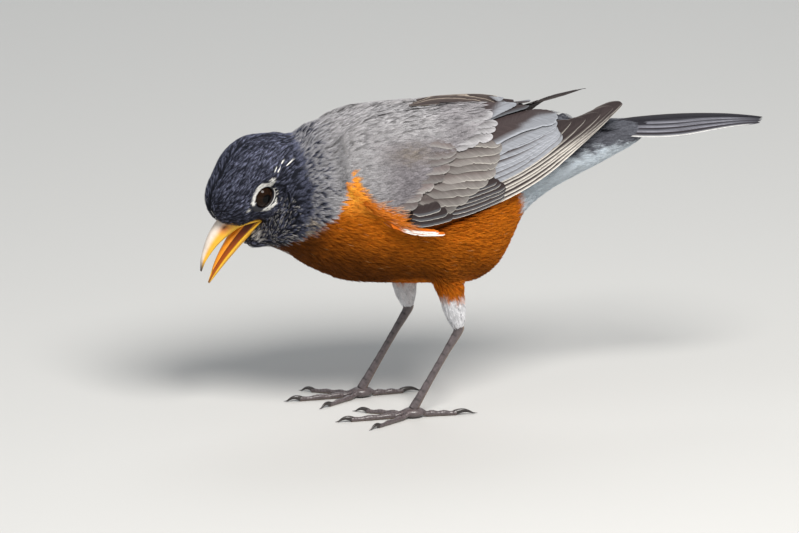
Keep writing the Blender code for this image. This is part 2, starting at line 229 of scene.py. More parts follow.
HEAD_FORWARD = unit(HEAD_FORWARD)
HEAD_LEFT = unit(HEAD_LEFT - HEAD_FORWARD * dot(HEAD_LEFT, HEAD_FORWARD))
HEAD_UP = np.cross(HEAD_FORWARD, HEAD_LEFT)
HEAD_AXES = np.array([HEAD_FORWARD, HEAD_LEFT, HEAD_UP])


def to_head(points):
    return (points - HEAD_AT) @ HEAD_AXES.T


def from_head(points):
    return np.asarray(points, float) @ HEAD_AXES + HEAD_AT


def metres(points):
    return (np.asarray(points) + SHIFT) * MM


def cells(rows, columns, closed=False):
    """The corners of a grid's cells, by vertex number: along one row and back along the next."""
    index = np.arange(rows * columns).reshape(rows, columns)
    after = np.roll(index, -1, 1) if closed else index[:, 1:]
    index = index if closed else index[:, :-1]
    return np.stack([index[:-1], after[:-1], after[1:], index[1:]], -1).reshape(-1, 4)


def make(name, points, faces, tint=None, bake_uv=None):
    """A mesh object from arrays; faces is one array of triangles or of quads."""
    faces = np.asarray(faces, np.int32)
    count, corners = faces.shape
    mesh = bpy.data.meshes.new(name)
    mesh.vertices.add(len(points))
    mesh.vertices.foreach_set("co", metres(points).astype(np.float32).ravel())
    mesh.loops.add(count * corners)
    mesh.loops.foreach_set("vertex_index", faces.ravel())
    mesh.polygons.add(count)
    mesh.polygons.foreach_set("loop_start", np.arange(0, count * corners, corners, dtype=np.int32))
    mesh.update(calc_edges=True)
    if tint is not None:
        layer = mesh.color_attributes.new("Tint", "FLOAT_COLOR", "POINT")
        rgba = np.column_stack([tint, np.ones(len(points))])
        layer.data.foreach_set("color", rgba.astype(np.float32).ravel())
    if bake_uv is not None:
        layer = mesh.uv_layers.new(name="OFBake")
        layer.data.foreach_set("uv", bake_uv[faces.ravel()].astype(np.float32).ravel())
    obj = bpy.data.objects.new(name, mesh)
    bpy.context.scene.collection.objects.link(obj)
    return obj


def finish_piece(obj, finish, replaces=(), smooth=True):
    """Gives a piece its finish and smoothing, and hides the solids that it replaces."""
    obj.data.materials.clear()
    obj.data.materials.append(finish)
    obj.data.polygons.foreach_set("use_smooth", [smooth] * len(obj.data.polygons))
    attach(obj, "root")
    if replaces:
        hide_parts(*replaces)


def arrays(mesh):
    """Vertices in the bird's coordinates, and triangles."""
    points = np.empty(len(mesh.vertices) * 3, np.float32)
    mesh.vertices.foreach_get("co", points)
    mesh.calc_loop_triangles()
    faces = np.empty(len(mesh.loop_triangles) * 3, np.int32)
    mesh.loop_triangles.foreach_get("vertices", faces)
    return points.reshape(-1, 3).astype(float) / MM - SHIFT, faces.reshape(-1, 3)


def joined(parts):
    points, faces, start = [], [], 0
    for part_points, part_faces in parts:
        points.append(part_points)
        faces.append(np.asarray(part_faces) + start)
        start += len(part_points)
    return np.vstack(points), np.vstack(faces)


def solids(names):
    return joined([arrays(NODES[name].data) for name in names])


class Form:
    """A closed shape with smooth normals, for laying feathers on."""

    def __init__(self, points, faces):
        self.points, self.faces = points, faces
        corners = points[faces]
        crossed = np.cross(corners[:, 1] - corners[:, 0], corners[:, 2] - corners[:, 0])
        self.areas = np.linalg.norm(crossed, axis=1) / 2
        normals = np.zeros_like(points)
        for k in range(3):
            np.add.at(normals, faces[:, k], crossed)
        self.normals = unit(normals)
        self.tree = BVHTree.FromPolygons(points.tolist(), faces.tolist())

    def nearest(self, points):
        """The nearest places on the shape, and the smooth normals there."""
        places, normals = np.empty_like(points), np.empty_like(points)
        for i, point in enumerate(points):
            place, _, face, _ = self.tree.find_nearest(point)
            places[i] = place
            corners = self.faces[face]
            gaps = np.linalg.norm(self.points[corners] - places[i], axis=1) + 1e-6
            normals[i] = (self.normals[corners] / gaps[:, None]).sum(0)
        return places, unit(normals)

    def distance(self, points):
        return np.array([self.tree.find_nearest(point)[3] for point in points])


def remeshed(points, faces, smoothing, swell_by=SWELL):
    """One closed smooth shape round these solids, swollen enough to close their gaps."""
    raw = make("raw", points, faces)
    shape = bmesh.new()
    shape.from_mesh(raw.data)
    bmesh.ops.remove_doubles(shape, verts=shape.verts, dist=1e-6)
    shape.to_mesh(raw.data)
    shape.free()
    swell = raw.modifiers.new("Swell", "DISPLACE")
    swell.strength, swell.mid_level = swell_by * MM, 0
    voxels = raw.modifiers.new("Cells", "REMESH")
    voxels.mode, voxels.voxel_size = "VOXEL", CELL * MM
    soft = raw.modifiers.new("Soft", "SMOOTH")
    soft.factor, soft.iterations = 0.5, smoothing
    bpy.context.view_layer.update()
    result = arrays(raw.evaluated_get(bpy.context.evaluated_depsgraph_get()).to_mesh())
    bpy.data.objects.remove(raw)
    return result


# Materials. Tint gives the colour, and the nodes add what is finer than the mesh.


def new_node(tree, kind, settings):
    """A node with these inputs set."""
    node = tree.nodes.new("ShaderNode" + kind)
    for name, value in settings.items():
        node.inputs[name].default_value = value
    return node


def finish(name, roughness, vary, grain, stretch=(1, 1, 1), bump=0.15, coat=0.0, specular=0.5, uv=None):
    made = bpy.data.materials.new(name)
    made.use_nodes = True
    tree = made.node_tree
    shader = tree.nodes["Principled BSDF"]
    tint = new_node(tree, "Attribute", {})
    tint.attribute_name = "Tint"
    place = new_node(tree, "UVMap" if uv else "TexCoord", {})
    if uv:
        place.uv_map = uv
    mapping = new_node(tree, "Mapping", {"Scale": stretch})
    noise = new_node(tree, "TexNoise", {"Scale": grain, "Detail": 4})
    spread = {"From Min": 0.3, "From Max": 0.7, "To Min": 1 - vary, "To Max": 1 + vary}
    level = new_node(tree, "MapRange", spread)
    shade = new_node(tree, "VectorMath", {})
    shade.operation = "SCALE"
    relief = new_node(tree, "Bump", {"Strength": bump, "Distance": 0.0002})
    spread = {"To Min": max(0.0, roughness - 0.06), "To Max": min(1.0, roughness + 0.06)}
    rough = new_node(tree, "MapRange", spread)
    for start, end in (
        (place.outputs["UV" if uv else "Object"], mapping.inputs["Vector"]),
        (mapping.outputs["Vector"], noise.inputs["Vector"]),
        (noise.outputs["Fac"], level.inputs["Value"]),
        (tint.outputs["Color"], shade.inputs[0]),
        (level.outputs["Result"], shade.inputs["Scale"]),
        (shade.outputs["Vector"], shader.inputs["Base Color"]),
        (noise.outputs["Fac"], relief.inputs["Height"]),
        (relief.outputs["Normal"], shader.inputs["Normal"]),
        (noise.outputs["Fac"], rough.inputs["Value"]),
        (rough.outputs["Result"], shader.inputs["Roughness"]),
    ):
        tree.links.new(start, end)
    shader.inputs["Specular IOR Level"].default_value = specular
    shader.inputs["Coat Weight"].default_value = coat
    shader.inputs["Coat Roughness"].default_value = 0.05
    return made


FINISHES = {
    "skin": finish("skin", 0.8, 0.15, 900, specular=0.2),
    "plumes": finish("plumes", 0.75, 0.2, 2600, bump=0.1, specular=0.1),
    "vanes": finish("vanes", 0.7, 0.22, 26, (1, 0.10, 1), 0.35, specular=0.12, uv="Vane"),
    "horn": finish("horn", 0.36, 0.08, 500, bump=0.08, specular=0.4, coat=0.12),
    "eye": finish("eye", 0.07, 0.25, 1500, bump=0.0, specular=0.11),
    "lid": finish("lid", 0.6, 0.15, 2500, bump=0.3),
    "scales": finish("scales", 0.36, 0.3, 900, bump=0.3, coat=0.15),
    "claw": finish("claw", 0.35, 0.15, 900, bump=0.1, coat=0.2),
}


# The skin, and the outline that the feather tips reach.

FLESH = ("head", "neck", "trunk", "shank_left", "shank_right")
WING_PARTS = ("coverts", "secondaries", "primaries")
WING_NODES = {side: [f"wing_{side}_{part}" for part in WING_PARTS] for side in SIDES}

flesh = Form(*remeshed(*solids(FLESH), FLESH_SMOOTHING))
flesh_solid = Form(*solids(FLESH))
wing_solid = {side: Form(*solids(WING_NODES[side])) for side in SIDES}


def draped(names, fill, smoothing):
    """The solids' outline with its grooves filled, as feathers bridge them."""
    wide = Form(*remeshed(*solids(names), smoothing, fill))
    inward = fill - SWELL + drawn_in(wide.points)
    return Form(wide.points - wide.normals * inward[:, None], wide.faces)


def ripple(points, size):
    """A smooth uneven value within about 1 of 0."""
    x, y, z = (points / size).T
    waves = (0.9 * x + 0.7 * z + 1.3, 1.7 * z - 0.8 * x + 0.6 * y, 1.3 * y + 2.1 * x)
    return sum(np.sin(wave) for wave in waves) / 2.4


def past_hood(points):
    """How far a point lies behind the smooth line of the hood's edge."""
    x, _, z = points.T
    edge = -53 + 3.6 * np.exp(-(((z - 96) / 15) ** 2))
    return x - edge + 9 * step(-z, -78, -66)


def hood_depth(points):
    """How far a point is inside the black hood."""
    return 0.9 * ripple(points, 1.2) - past_hood(points)


def drawn_in(points):
    """How far the top of the plumage draws in round the nape and over the shoulders."""
    past = past_hood(points)
    depth = SHOULDER_SINK * step(past, 4, 10) * (1 - step(points[:, 0], -4, 12))
    for place, breadth, amount in NAPE:
        depth = depth + amount * np.exp(-(((past - place) / breadth) ** 2))
    return depth * step(points[:, 2], 92, 106) * step(14 - np.abs(points[:, 1]), 0, 6)


outline = draped(FLESH, OUTLINE_FILL, FLESH_SMOOTHING)
mantle = draped((*FLESH, *WING_NODES["left"], *WING_NODES["right"]), FILL, MANTLE_SMOOTHING)


def face_close(points):
    """1 beside the eyes and the bill, and 0 away from them."""
    local = to_head(points)
    eye = np.linalg.norm(np.column_stack([local[:, 0], np.abs(local[:, 1]) - 12, local[:, 2]]), axis=1)
    bill = np.linalg.norm(local - np.array((12, 0, -7)), axis=1)
    return np.maximum(1 - step(eye, 5.5, 9), 1 - step(bill, 8, 13))


def coat_depth(points):
    hood = step(-points[:, 0], 55, 62)
    depth = COAT_DEPTH["body"] + (COAT_DEPTH["hood"] - COAT_DEPTH["body"]) * hood
    depth = depth + (COAT_DEPTH["face"] - depth) * face_close(points)
    low = 1 - step(points[:, 2], 48, 56)
    return depth + (COAT_DEPTH["shank"] - depth) * low


def plumage(points, on_wing=False):
    """Base and tip colours of the coat at these points, with painted shade low on the body and on the wing,
    and painted light on the orange at the wing's bend.
    """
    x, y, z = points.T
    rough = ripple(points, 1.1)
    wing = np.zeros(len(points), bool) | on_wing
    top_x, top_z = np.array(BREAST_TOP).T
    top = np.where(x > top_x[-1], np.where(wing, 60, 104), np.interp(x, top_x, top_z))
    middle = (1 - step(np.abs(y), 5, 14)) * step(-x, 40, 50)
    orange = step(top + 14 * middle - z + 0.8 * rough, -0.8, 0.8)
    back_x, back_z, lean = VENT_EDGE
    vent = step(x - back_x - lean * (back_z - z) + 1.2 * rough, -1.5, 1.5)
    vent = vent * step(108 + 0.3 * (x - 60) - z, -1.5, 1.5) * ~wing
    rump = step(z - np.minimum(97 + 0.28 * (x - 50), 103) + rough, -1.6, 1.6) * step(x, 44, 50) * ~wing
    hood = step(hood_depth(points), -0.5, 0.7)
    neck = step(-x, 34, 48)
    base = blend(colour("mantle"), colour("neck"), neck)
    tip = blend(colour("mantle_tip"), colour("mantle_tip") * 0.9, neck)
    # Painted shade: the wing's coat is darkened behind the bend below its upper edge, and somewhat less all
    # over from the scapulars back, as where shade lies among the feathers.
    wing_coat_shade = wing * np.maximum(step(x, -30, -14) * step(114 - z, -3, 3), 0.6 * step(x, -2, 8))
    base = blend(base, colour("mantle") * (0.60, 0.57, 0.60), wing_coat_shade)
    tip = blend(tip, colour("mantle_tip") * (0.60, 0.575, 0.59), wing_coat_shade)
    warm = wing * np.exp(-(((x - BROWNISH[0]) / 8) ** 2) - ((z - BROWNISH[1] + rough) / 3) ** 2)
    tip = blend(tip, tip * (0.98, 0.90, 0.70), warm)
    # Painted shade: the orange is darkened low on the body and over the breast front, less on the thighs and
    # towards the rear, as where shade falls.
    underside_shade = 1 - step(z + 0.25 * (x + 20) + 2 * rough, 56, 84)
    underside_shade = np.maximum(underside_shade, step(-x, 36, 50) * (1 - step(z, 80, 92)))
    thigh = step(x, -18, -11) * (1 - step(x, 16, 22)) * (1 - step(z, 53, 58))
    underside_shade = orange * underside_shade * (1 - 0.75 * step(x, 20, 34)) * (1 - 0.85 * thigh)
    # Painted light: the orange at the front of the folded wing is painted brighter, as where light falls on
    # it.
    lit_wedge = orange * step(-x, 20, 30) * step(z, 84, 94)
    low = 1 - step(z + rough, 45, 49)
    parts = ("breast", "belly", "lit_wedge", "vent", "rump", "hood", "shank")
    masks = (orange, underside_shade, lit_wedge, vent, rump, hood, low)
    base = painted(base, *((colour(part), mask) for part, mask in zip(parts, masks)))
    tip = painted(tip, *((colour(part + "_tip"), mask) for part, mask in zip(parts, masks)))
    drift = 1 + 0.06 * ripple(points, 5.0)[:, None] + 0.04 * ripple(points[:, ::-1], 2.3)[:, None]
    return base * drift, tip * drift


def mottled(places, base, tip):
    """Strews dark feathers over the neck behind the hood, and beige ones low on it; tells which are dark."""
    past = -hood_depth(places)
    near = np.exp(-((past / MOTTLE_REACH) ** 2)) * step(past, 0, 0.8) * (base[:, 2] > 0.1)
    dice = rng.random(len(places))
    dark = dice < 0.65 * near
    beige = (dice > 1 - 0.45 * near * (1 - step(places[:, 2], 80, 88))) & ~dark
    base[dark], tip[dark] = colour("hood"), colour("hood_tip") * 0.7
    base[beige], tip[beige] = colour("beige") * 0.6, colour("beige")
    return dark


skin_depth = coat_depth(flesh.points) + SWELL + drawn_in(flesh.points)
skin_points = flesh.points - flesh.normals * skin_depth[:, None]
skin_tint = plumage(skin_points)[0] * 0.8
local = to_head(skin_points)
# Painted shade: the skin inside the open mouth is painted near black, as the shade deep in it.
mouth_shade = (local[:, 0] > 6) & (np.abs(local[:, 1]) < 7.5) & (local[:, 2] < -6) & (local[:, 2] > -14)
skin_tint[mouth_shade] = colour("mouth")
skin = make("skin", skin_points, flesh.faces, skin_tint)
finish_piece(skin, FINISHES["skin"], FLESH)


# Feathers of the coat: small frayed vanes and tufts in a few patterns, laid along the lie.


def frayed(strips, split, narrow, rounding, uneven, seed):
    """Points (across, along, height) and triangles: a web up to split, then strips that part at the tip."""
    dice = np.random.default_rng(seed)
    edges = np.linspace(-1, 1, strips + 1)
    points = [(-narrow, 0, 0), (narrow, 0, 0)] + [(edge * 0.88, split - 0.12 * edge**2, 0) for edge in edges]
    faces = [(0, 1, 2 + strips // 2)]
    faces += [(0 if i < strips / 2 else 1, 3 + i, 2 + i) for i in range(strips)]
    for i in range(strips):
        middle = (edges[i] + edges[i + 1]) / 2
        half = 0.62 * (1 / strips)
        end = 1 - rounding * middle**2 + uneven * dice.uniform(-1, 0.6)
        reach = split + (end - split) * 0.55
        bend = middle + uneven * 0.5 * dice.uniform(-1, 1)
        twist = dice.uniform(-1, 1)
        tip = middle * (1.02 - 0.35 * rounding) + uneven * dice.uniform(-1, 1)
        first = len(points)
        points += [(bend - half, reach, twist), (bend + half, reach, -twist)]
        points.append((tip, end, 0.5 * dice.uniform(-1, 1)))
        faces += [(2 + i, 3 + i, first + 1), (2 + i, first + 1, first), (first, first + 1, first + 2)]
    return np.array(points, float), np.array(faces)


PATTERNS = {
    "face": [frayed(3, 0.25, 0.3, 0.25, 0.16, 100 + k) for k in range(6)],
    "body": [frayed(7, 0.42, 0.2, 0.42, 0.09, 200 + k) for k in range(8)],
    "lock": [frayed(5, 0.3, 0.25, 0.35, 0.14, 300 + k) for k in range(6)],
}


def scatter(form, spacing, keep):
    """Places spread evenly over the part of a form that keep picks, about spacing(points) apart."""
    centres = form.points[form.faces].mean(1)
    chosen = np.flatnonzero(keep(centres))
    share = form.areas[chosen] * 4.0 / spacing(centres[chosen]) ** 2
    faces = np.repeat(chosen, rng.poisson(share))
    rng.shuffle(faces)
    a, b = rng.random((2, len(faces), 1))
    fold = (a + b) > 1
    a, b = np.where(fold, 1 - a, a), np.where(fold, 1 - b, b)
    corner, other, third = (form.points[form.faces[faces, k]] for k in range(3))
    points = corner + (other - corner) * a + (third - corner) * b
    near = spacing(points)
    tree = KDTree(len(points))
    for i, point in enumerate(points):
        tree.insert(point, i)
    tree.balance()
    waiting = np.ones(len(points), bool)
    roots = []
    for i in range(len(points)):
        if waiting[i]:
            roots.append(i)
            for _, j, _ in tree.find_range(points[i], near[i]):
                waiting[j] = False
    return points[roots]


def lie(points, normals, on_wing):
    """The way the coat lies: back from the bill over the head, then back along the body."""
    aside = to_head(points)[:, 1:2]
    head = -HEAD_FORWARD + np.sign(aside) * HEAD_LEFT * 0.35 * (1 - step(np.abs(aside), 3, 12))
    body = np.zeros_like(points)
    body[:, 0] = 1
    body[:, 2] = np.where(on_wing, 0.12, -0.12 * step(90 - points[:, 2], 0, 30))
    flow = blend(head, body, step(points[:, 0], *NECK_SPAN))
    flow = blend(flow, np.array((0.25, 0, -1.0)), 1 - step(points[:, 2], 50, 58))
    return unit(flow - normals * dot(flow, normals)[:, None])


def seen_places(form, roots, length, on_wing=False):
    """Where the uncovered part of each feather lies."""
    places, normals = form.nearest(roots)
    return places + lie(places, normals, on_wing) * np.reshape(SEEN * length, (-1, 1))


def unwrap(points):
    """Where points lie on an unwrap of the body: along it, and round it."""
    share = step(points[:, 0], *NECK_SPAN)
    local = to_head(points)
    along_head = -52 - (local[:, 0] + 16)
    along = along_head + (points[:, 0] - along_head) * share
    body_turn = np.arctan2(points[:, 1], points[:, 2] - np.interp(points[:, 0], (-50, 40, 90), (90, 88, 105)))
    head_turn = np.arctan2(-local[:, 1], local[:, 2])
    turn = np.where(share > 0.5, body_turn, head_turn)
    return np.column_stack([along, turn / (2 * math.pi) + 0.5])


def lay(form, roots, pattern, length, width, depth, rise, base, tip, on_wing=False, jitter=0.13, flow=None):
    """Feathers by pattern: their points, tints, unwrapped places and patches, and one feather's triangles."""
    length, width, depth, rise = (value + 0 * roots[:, 0] for value in (length, width, depth, rise))
    base, tip = base + 0 * roots, tip + 0 * roots
    rear = step(roots[:, 0], 36, 50)
    puff = 0.10 - 0.07 * rear
    places, normals = form.nearest(roots)
    if flow is None:
        flow = lie(places, normals, on_wing)
    side = np.cross(normals, flow)
    turn = rng.normal(0, jitter, len(roots))[:, None]
    flow = unit(flow * np.cos(turn) + side * np.sin(turn))
    side = np.cross(normals, flow)
    length = length * rng.uniform(0.85, 1.15, len(roots))
    reach, reach_normals = form.nearest(places + flow * length[:, None])
    half, half_normals = form.nearest(places + flow * length[:, None] / 2)
    start = places - normals * depth[:, None]
    middle = half + half_normals * ((rise - depth) * 0.5 + 0.2)[:, None]
    rise = rise + rng.uniform(-0.15, 0.25, len(roots)) * (1 - 0.5 * rear)
    end = reach + reach_normals * rise[:, None]
    shade = rng.normal(1, 0.10 - 0.06 * rear, len(roots))[:, None]
    kinds = rng.integers(0, len(PATTERNS[pattern]), len(roots))
    root_uv = unwrap(places)
    groups = []
    for k, (shape, faces) in enumerate(PATTERNS[pattern]):
        mine = np.flatnonzero(kinds == k)
        across, along, height = shape.T
        t = along[:, None]
        points = start[mine, None] * ((1 - t) * (1 - 2 * t)) + middle[mine, None] * (4 * t * (1 - t))
        points = points + end[mine, None] * (t * (2 * t - 1))
        wide = width[mine, None]
        bow = height * puff[mine, None] * wide - 0.1 * wide * across**2
        points = points + side[mine, None] * (across * wide)[..., None] + normals[mine, None] * bow[..., None]
        tint = blend(base[mine, None], tip[mine, None], step(along, 0.35, 1.0)) * shade[mine, None]
        uv = root_uv[mine, None] + 0 * points[..., :2]
        groups.append((points, tint, uv, shape[:, :2] - (0, 0.5) + 0 * uv, faces))
    return groups


PATCH = 0.0015  # half the width of a feather's patch on the unwrap
FAR = 1e9  # beyond every feather
COAT_LIMIT = 190000  # triangles in a piece


def coat(name, groups, slot):
    """Joins laid feathers into pieces under the limit, from front to back."""
    fronts = np.concatenate([group[0][:, 0, 0] for group in groups])
    weights = np.concatenate([np.full(len(group[0]), len(group[-1])) for group in groups])
    parts = math.ceil(weights.sum() / COAT_LIMIT)
    order = np.argsort(fronts)
    filled = np.cumsum(weights[order]) / weights.sum()
    inner_cuts = [fronts[order][np.searchsorted(filled, k / parts)] for k in range(1, parts)]
    cuts = [-FAR, *inner_cuts, FAR]
    for k in range(parts):
        rows, start = [], 0
        for *layers, faces in groups:
            front = layers[0][:, 0, 0]
            mine = (front > cuts[k]) & (front <= cuts[k + 1])
            size = layers[0].shape[1]
            index = start + (np.arange(mine.sum()) * size)[:, None, None] + faces
            rows.append([layer[mine].reshape(-1, layer.shape[-1]) for layer in layers])
            rows[-1].append(index.reshape(-1, 3))
            start += mine.sum() * size
        points, tint, uv, patch, faces = (np.vstack(column) for column in zip(*rows))
        low, high = uv.min(0), uv.max(0)
        uv = 0.01 + 0.98 * (uv - low) / np.maximum(high - low, 1e-6) + patch * PATCH
        label = name if parts == 1 else f"{name}_{k + 1}"
        obj = make(label, points, faces, np.clip(tint, 0.001, 0.95), uv)
        finish_piece(obj, FINISHES["plumes"], smooth=False)


def belongs_to_wing(points):
    wing = np.minimum(wing_solid["left"].distance(points), wing_solid["right"].distance(points))
    return wing < flesh_solid.distance(points)


# Where the coat's small feathers cover the front of the folded wing: heights z of its edge, and x there.
DOWNY_EDGE = (
    (76, -19),
    (84.5, -19),
    (90, -20),
    (97, -14),
    (103, -8),
    (108, -3),
    (112, 2),
    (116, 10),
    (120, 15),
    (124, 17),
)


def downy(points):
    """True on the front of the wing, where the coat covers it."""
    z, x = np.array(DOWNY_EDGE).T
    return points[:, 0] < np.interp(points[:, 2], z, x)


def eye_distance(points):
    """Distance from the nearer eye's axis, angle round it from ahead to the crown, and distance aside."""
    ahead, aside, up = to_head(points).T
    return np.hypot(ahead, up), np.degrees(np.arctan2(up, ahead)) % 360, np.abs(aside)


def bare(points):
    """True on the bill's seat, in the mouth and over the eyes."""
    local = to_head(points)
    ahead, side, up = local[:, 0], np.abs(local[:, 1]), local[:, 2]
    mouth = (ahead > 6.5) & (up < -8.3) & (up > -12.3)
    seat = (ahead > 13) & (side < 5) & (up < -1) & (up > -13.5)
    eye = (np.hypot(ahead, up) < 4.9) & (side > 7)
    return mouth | seat | eye


# Plumage of the head and neck.


def hood_zone(points):
    return (points[:, 0] < -50) & ~bare(points)


def hood_spacing(points):
    face = face_close(points)
    neck = step(points[:, 0], -62, -52)
    return HOOD_SPACING - 0.04 * face + 0.3 * neck


THROAT_PALE = 0.40  # share of pale feathers in the streaked throat
# The line of the pale streaks on each cheek, ahead and up in the head's frame,
# how far they reach from it, and their share.
CHEEK = ((-4.5, -8.0), (7.0, -13.5))
CHEEK_REACH, CHEEK_PALE = 3.4, 0.32
# Thin white feathers behind each eye, ahead and up in the head's frame: from root to tip.
HAIRLINES = (
    ((-9.6, 4.9), (-12.0, 5.6)),
    ((-10.4, 3.7), (-13.6, 4.2)),
    ((-14.4, 4.5), (-16.5, 4.8)),
    ((-14.8, 1.9), (-19.2, 0.9)),
)
HAIRLINE_WIDTH = 0.17


def off_line(places, start, end):
    """Distance of places in a plane from a line between two points of it."""
    start, end = np.array(start), np.array(end)
    way = end - start
    along = np.clip((places - start) @ way / dot(way, way), 0, 1)
    return np.linalg.norm(places - start - along[:, None] * way, axis=1)


def lay_hood():
    roots = scatter(outline, hood_spacing, hood_zone)
    face = face_close(roots)
    neck = step(roots[:, 0], -62, -52)
    length = HOOD_LENGTH - 2.0 * face + 1.4 * neck
    width = HOOD_WIDTH - 0.05 * face + 0.34 * neck
    depth = coat_depth(roots)
    rise = np.full(len(roots), -0.1)
    places = seen_places(outline, roots, length)
    base, tip = plumage(places)
    # Painted highlights: about one tip in seven inside the hood is brightened as a glint on the glossy
    # feathers, and about half are darkened.
    glint = rng.random(len(roots))[:, None]
    inside = step(hood_depth(places), -1, 1)[:, None]
    tip = np.where(glint > 0.86, tip * (1 + 1.5 * inside * (1 - neck[:, None])), tip)
    tip = np.where(glint < 0.54, tip * (1 - 0.85 * inside), tip)
    width[mottled(places, base, tip)] *= 0.6
    local = to_head(places)
    ahead, _, up = local.T
    throat = step(-up, 11, 16) * step(ahead, -14, -8) * step(16 - ahead, 0, 4) * inside[:, 0]
    cheek = step(CHEEK_REACH - off_line(local[:, [0, 2]], *CHEEK), 0, 1.5)
    pale = rng.random(len(roots)) < np.maximum(THROAT_PALE * throat, CHEEK_PALE * cheek)
    base[pale] = colour("throat")
    tip[pale] = colour("throat_tip")
    length[pale] *= 0.8
    width[pale] *= 0.62
    rise[pale] += 0.15
    rho, angle, out = eye_distance(places)
    front_arc = (angle > 18) & (angle < 150) & (rho < 5.7 + 1.2 * step(angle, 70, 110))
    rear_arc = (angle > 180) & (angle < 322) & (rho < 5.7 + 0.5 * step(angle, 275, 300))
    brow_tail = (np.abs(angle - 153) < 7) & (rho < 9)
    lores = np.hypot(ahead - 8.2, up - 1.2) < 0.9
    ring = (front_arc | rear_arc | brow_tail | lores) & (out > 7)
    base[ring], tip[ring] = colour("white") * 0.9, colour("white")
    return lay(outline, roots, "face", length, width, depth, rise, base, tip)


def lay_hairlines():
    groups = []
    for start, end in HAIRLINES:
        for sign in SIDES.values():
            ahead, up = (value + rng.normal(0, 0.10, 3) for value in start)
            places = from_head(np.column_stack([ahead, np.full(3, -13.0 * sign), up]))
            roots, normals = outline.nearest(places)
            way = HEAD_FORWARD * (end[0] - start[0]) + HEAD_UP * (end[1] - start[1])
            flow = unit(way - normals * dot(normals, way)[:, None])
            sizes = (math.dist(start, end), HAIRLINE_WIDTH, 0.1, 0.25)
            white = colour("white")
            groups += lay(outline, roots, "face", *sizes, white * 0.9, white, jitter=0.05, flow=flow)
    return groups


# Short stiff feathers that point forward over the root of the bill, above the nostrils and then on the chin:
# number, length, half width, turn from ahead towards the crown, share of pale ones, and where they grow in
# the head's frame, ahead, aside and up.
BRISTLES = (
    (150, 3.4, 0.16, -0.45, 0.0, ((9.5, 13.5), (1.0, 6.0), (-7.0, -0.5))),
    (300, 2.4, 0.15, 0.10, 0.60, ((6.5, 13.0), (0.0, 7.5), (-16.5, -12.5))),
)


def lay_bristles():
    groups = []
    for count, length, width, turn, share, seat in BRISTLES:
        ahead, aside, up = (rng.uniform(low, high, count) for low, high in seat)
        roots = from_head(np.column_stack([ahead, aside * rng.choice((-1, 1), count), up]))
        roots, normals = outline.nearest(roots)
        way = HEAD_FORWARD + HEAD_UP * turn + rng.normal(0, 0.12, (count, 3))
        flow = unit(way - normals * dot(way, normals)[:, None] * 0.8)
        base = np.tile(colour("hood"), (count, 1))
        tip = np.tile(colour("hood_tip") * (0.5, 0.42, 0.26), (count, 1))
        pale = rng.random(count) < share
        base[pale], tip[pale] = colour("throat"), colour("throat_tip")
        groups += lay(outline, roots, "face", length, width, 0.4, 0.4, base, tip, jitter=0.15, flow=flow)
    return groups


# Plumage of the trunk, with the small feathers over the front of the wings.


def trunk_zone(points):
    chosen = points[:, 0] > -56
    wing = np.zeros(len(points), bool)
    wing[chosen] = belongs_to_wing(points[chosen])
    return chosen & (~wing | downy(points)) & (points[:, 2] > SHANK_TOP)


def trunk_spacing(points):
    return TRUNK_SPACING + 0.12 * step(points[:, 0], 40, 70)


def lay_trunk():
    roots = scatter(mantle, trunk_spacing, trunk_zone)
    wing = belongs_to_wing(roots)
    shown = ~wing | downy(roots)
    roots, wing = roots[shown], wing[shown]
    rear = step(roots[:, 0], 30, 80)
    scapular = wing * step(roots[:, 0], -6, 6) * step(roots[:, 2], 108, 114)
    past_neck = step(roots[:, 0], -50, -20)
    length = TRUNK_LENGTH + 1.6 * past_neck + 1.5 * rear + 2.5 * scapular
    width = TRUNK_WIDTH + 0.2 * past_neck + 0.2 * rear + 0.5 * scapular
    places = seen_places(mantle, roots, length, wing)
    base, tip = plumage(places, wing)
    dark = mottled(places, base, tip)
    width[dark] *= 0.48
    length[dark] *= 0.9
    dice = rng.random(len(roots))
    streaked = (base[:, 2] > 0.1) & (roots[:, 0] < 30)
    streaked &= dice < 0.02 + 0.2 * step(roots[:, 2] + 0.2 * np.abs(roots[:, 0]), 115, 122)
    base[streaked] *= 0.6
    tip[streaked] *= 0.6
    width[streaked] *= 0.8
    flecked = (base[:, 2] < 0.01) & (dice > 0.985)
    tip[flecked] = blend(tip[flecked], colour("fleck"), 0.6)
    width[flecked] *= 0.35
    depth = np.where(wing, 0.6, coat_depth(roots))
    rise = 0.05 - 0.25 * rear
    return lay(mantle, roots, "body", length, width, depth, rise, base, tip, wing)


def shank_zone(points):
    return (points[:, 2] < SHANK_TOP + 1) & (points[:, 2] > 36) & (points[:, 0] > -40)


def lay_shanks():
    roots = scatter(outline, lambda points: np.full(len(points), SHANK_SPACING), shank_zone)
    base, tip = plumage(seen_places(outline, roots, SHANK_LENGTH))
    sizes = (SHANK_LENGTH, SHANK_WIDTH, coat_depth(roots), 0.05)
    return lay(outline, roots, "body", *sizes, base, tip, jitter=0.12)


# Loose feathers below the bend of each wing: x and height along their roots, number, length, half width,
# droop, how far they stand out, and the least and most white in them.
TUFTS = (
    (((-33, 91.0), (-27, 88.8), (-18, 84.8)), 170, 5.5, 0.26, -0.12, 0.8, 0.0, 0.03),
    (((-30, 92.0), (-25, 90.4), (-17, 87.8)), 80, 4.4, 0.16, 0.12, 1.1, 0.4, 0.9),
    (((-24, 84.4), (-18, 83.0), (-13, 82.0)), 40, 5.0, 0.22, -0.08, 0.7, 0.0, 0.30),
)


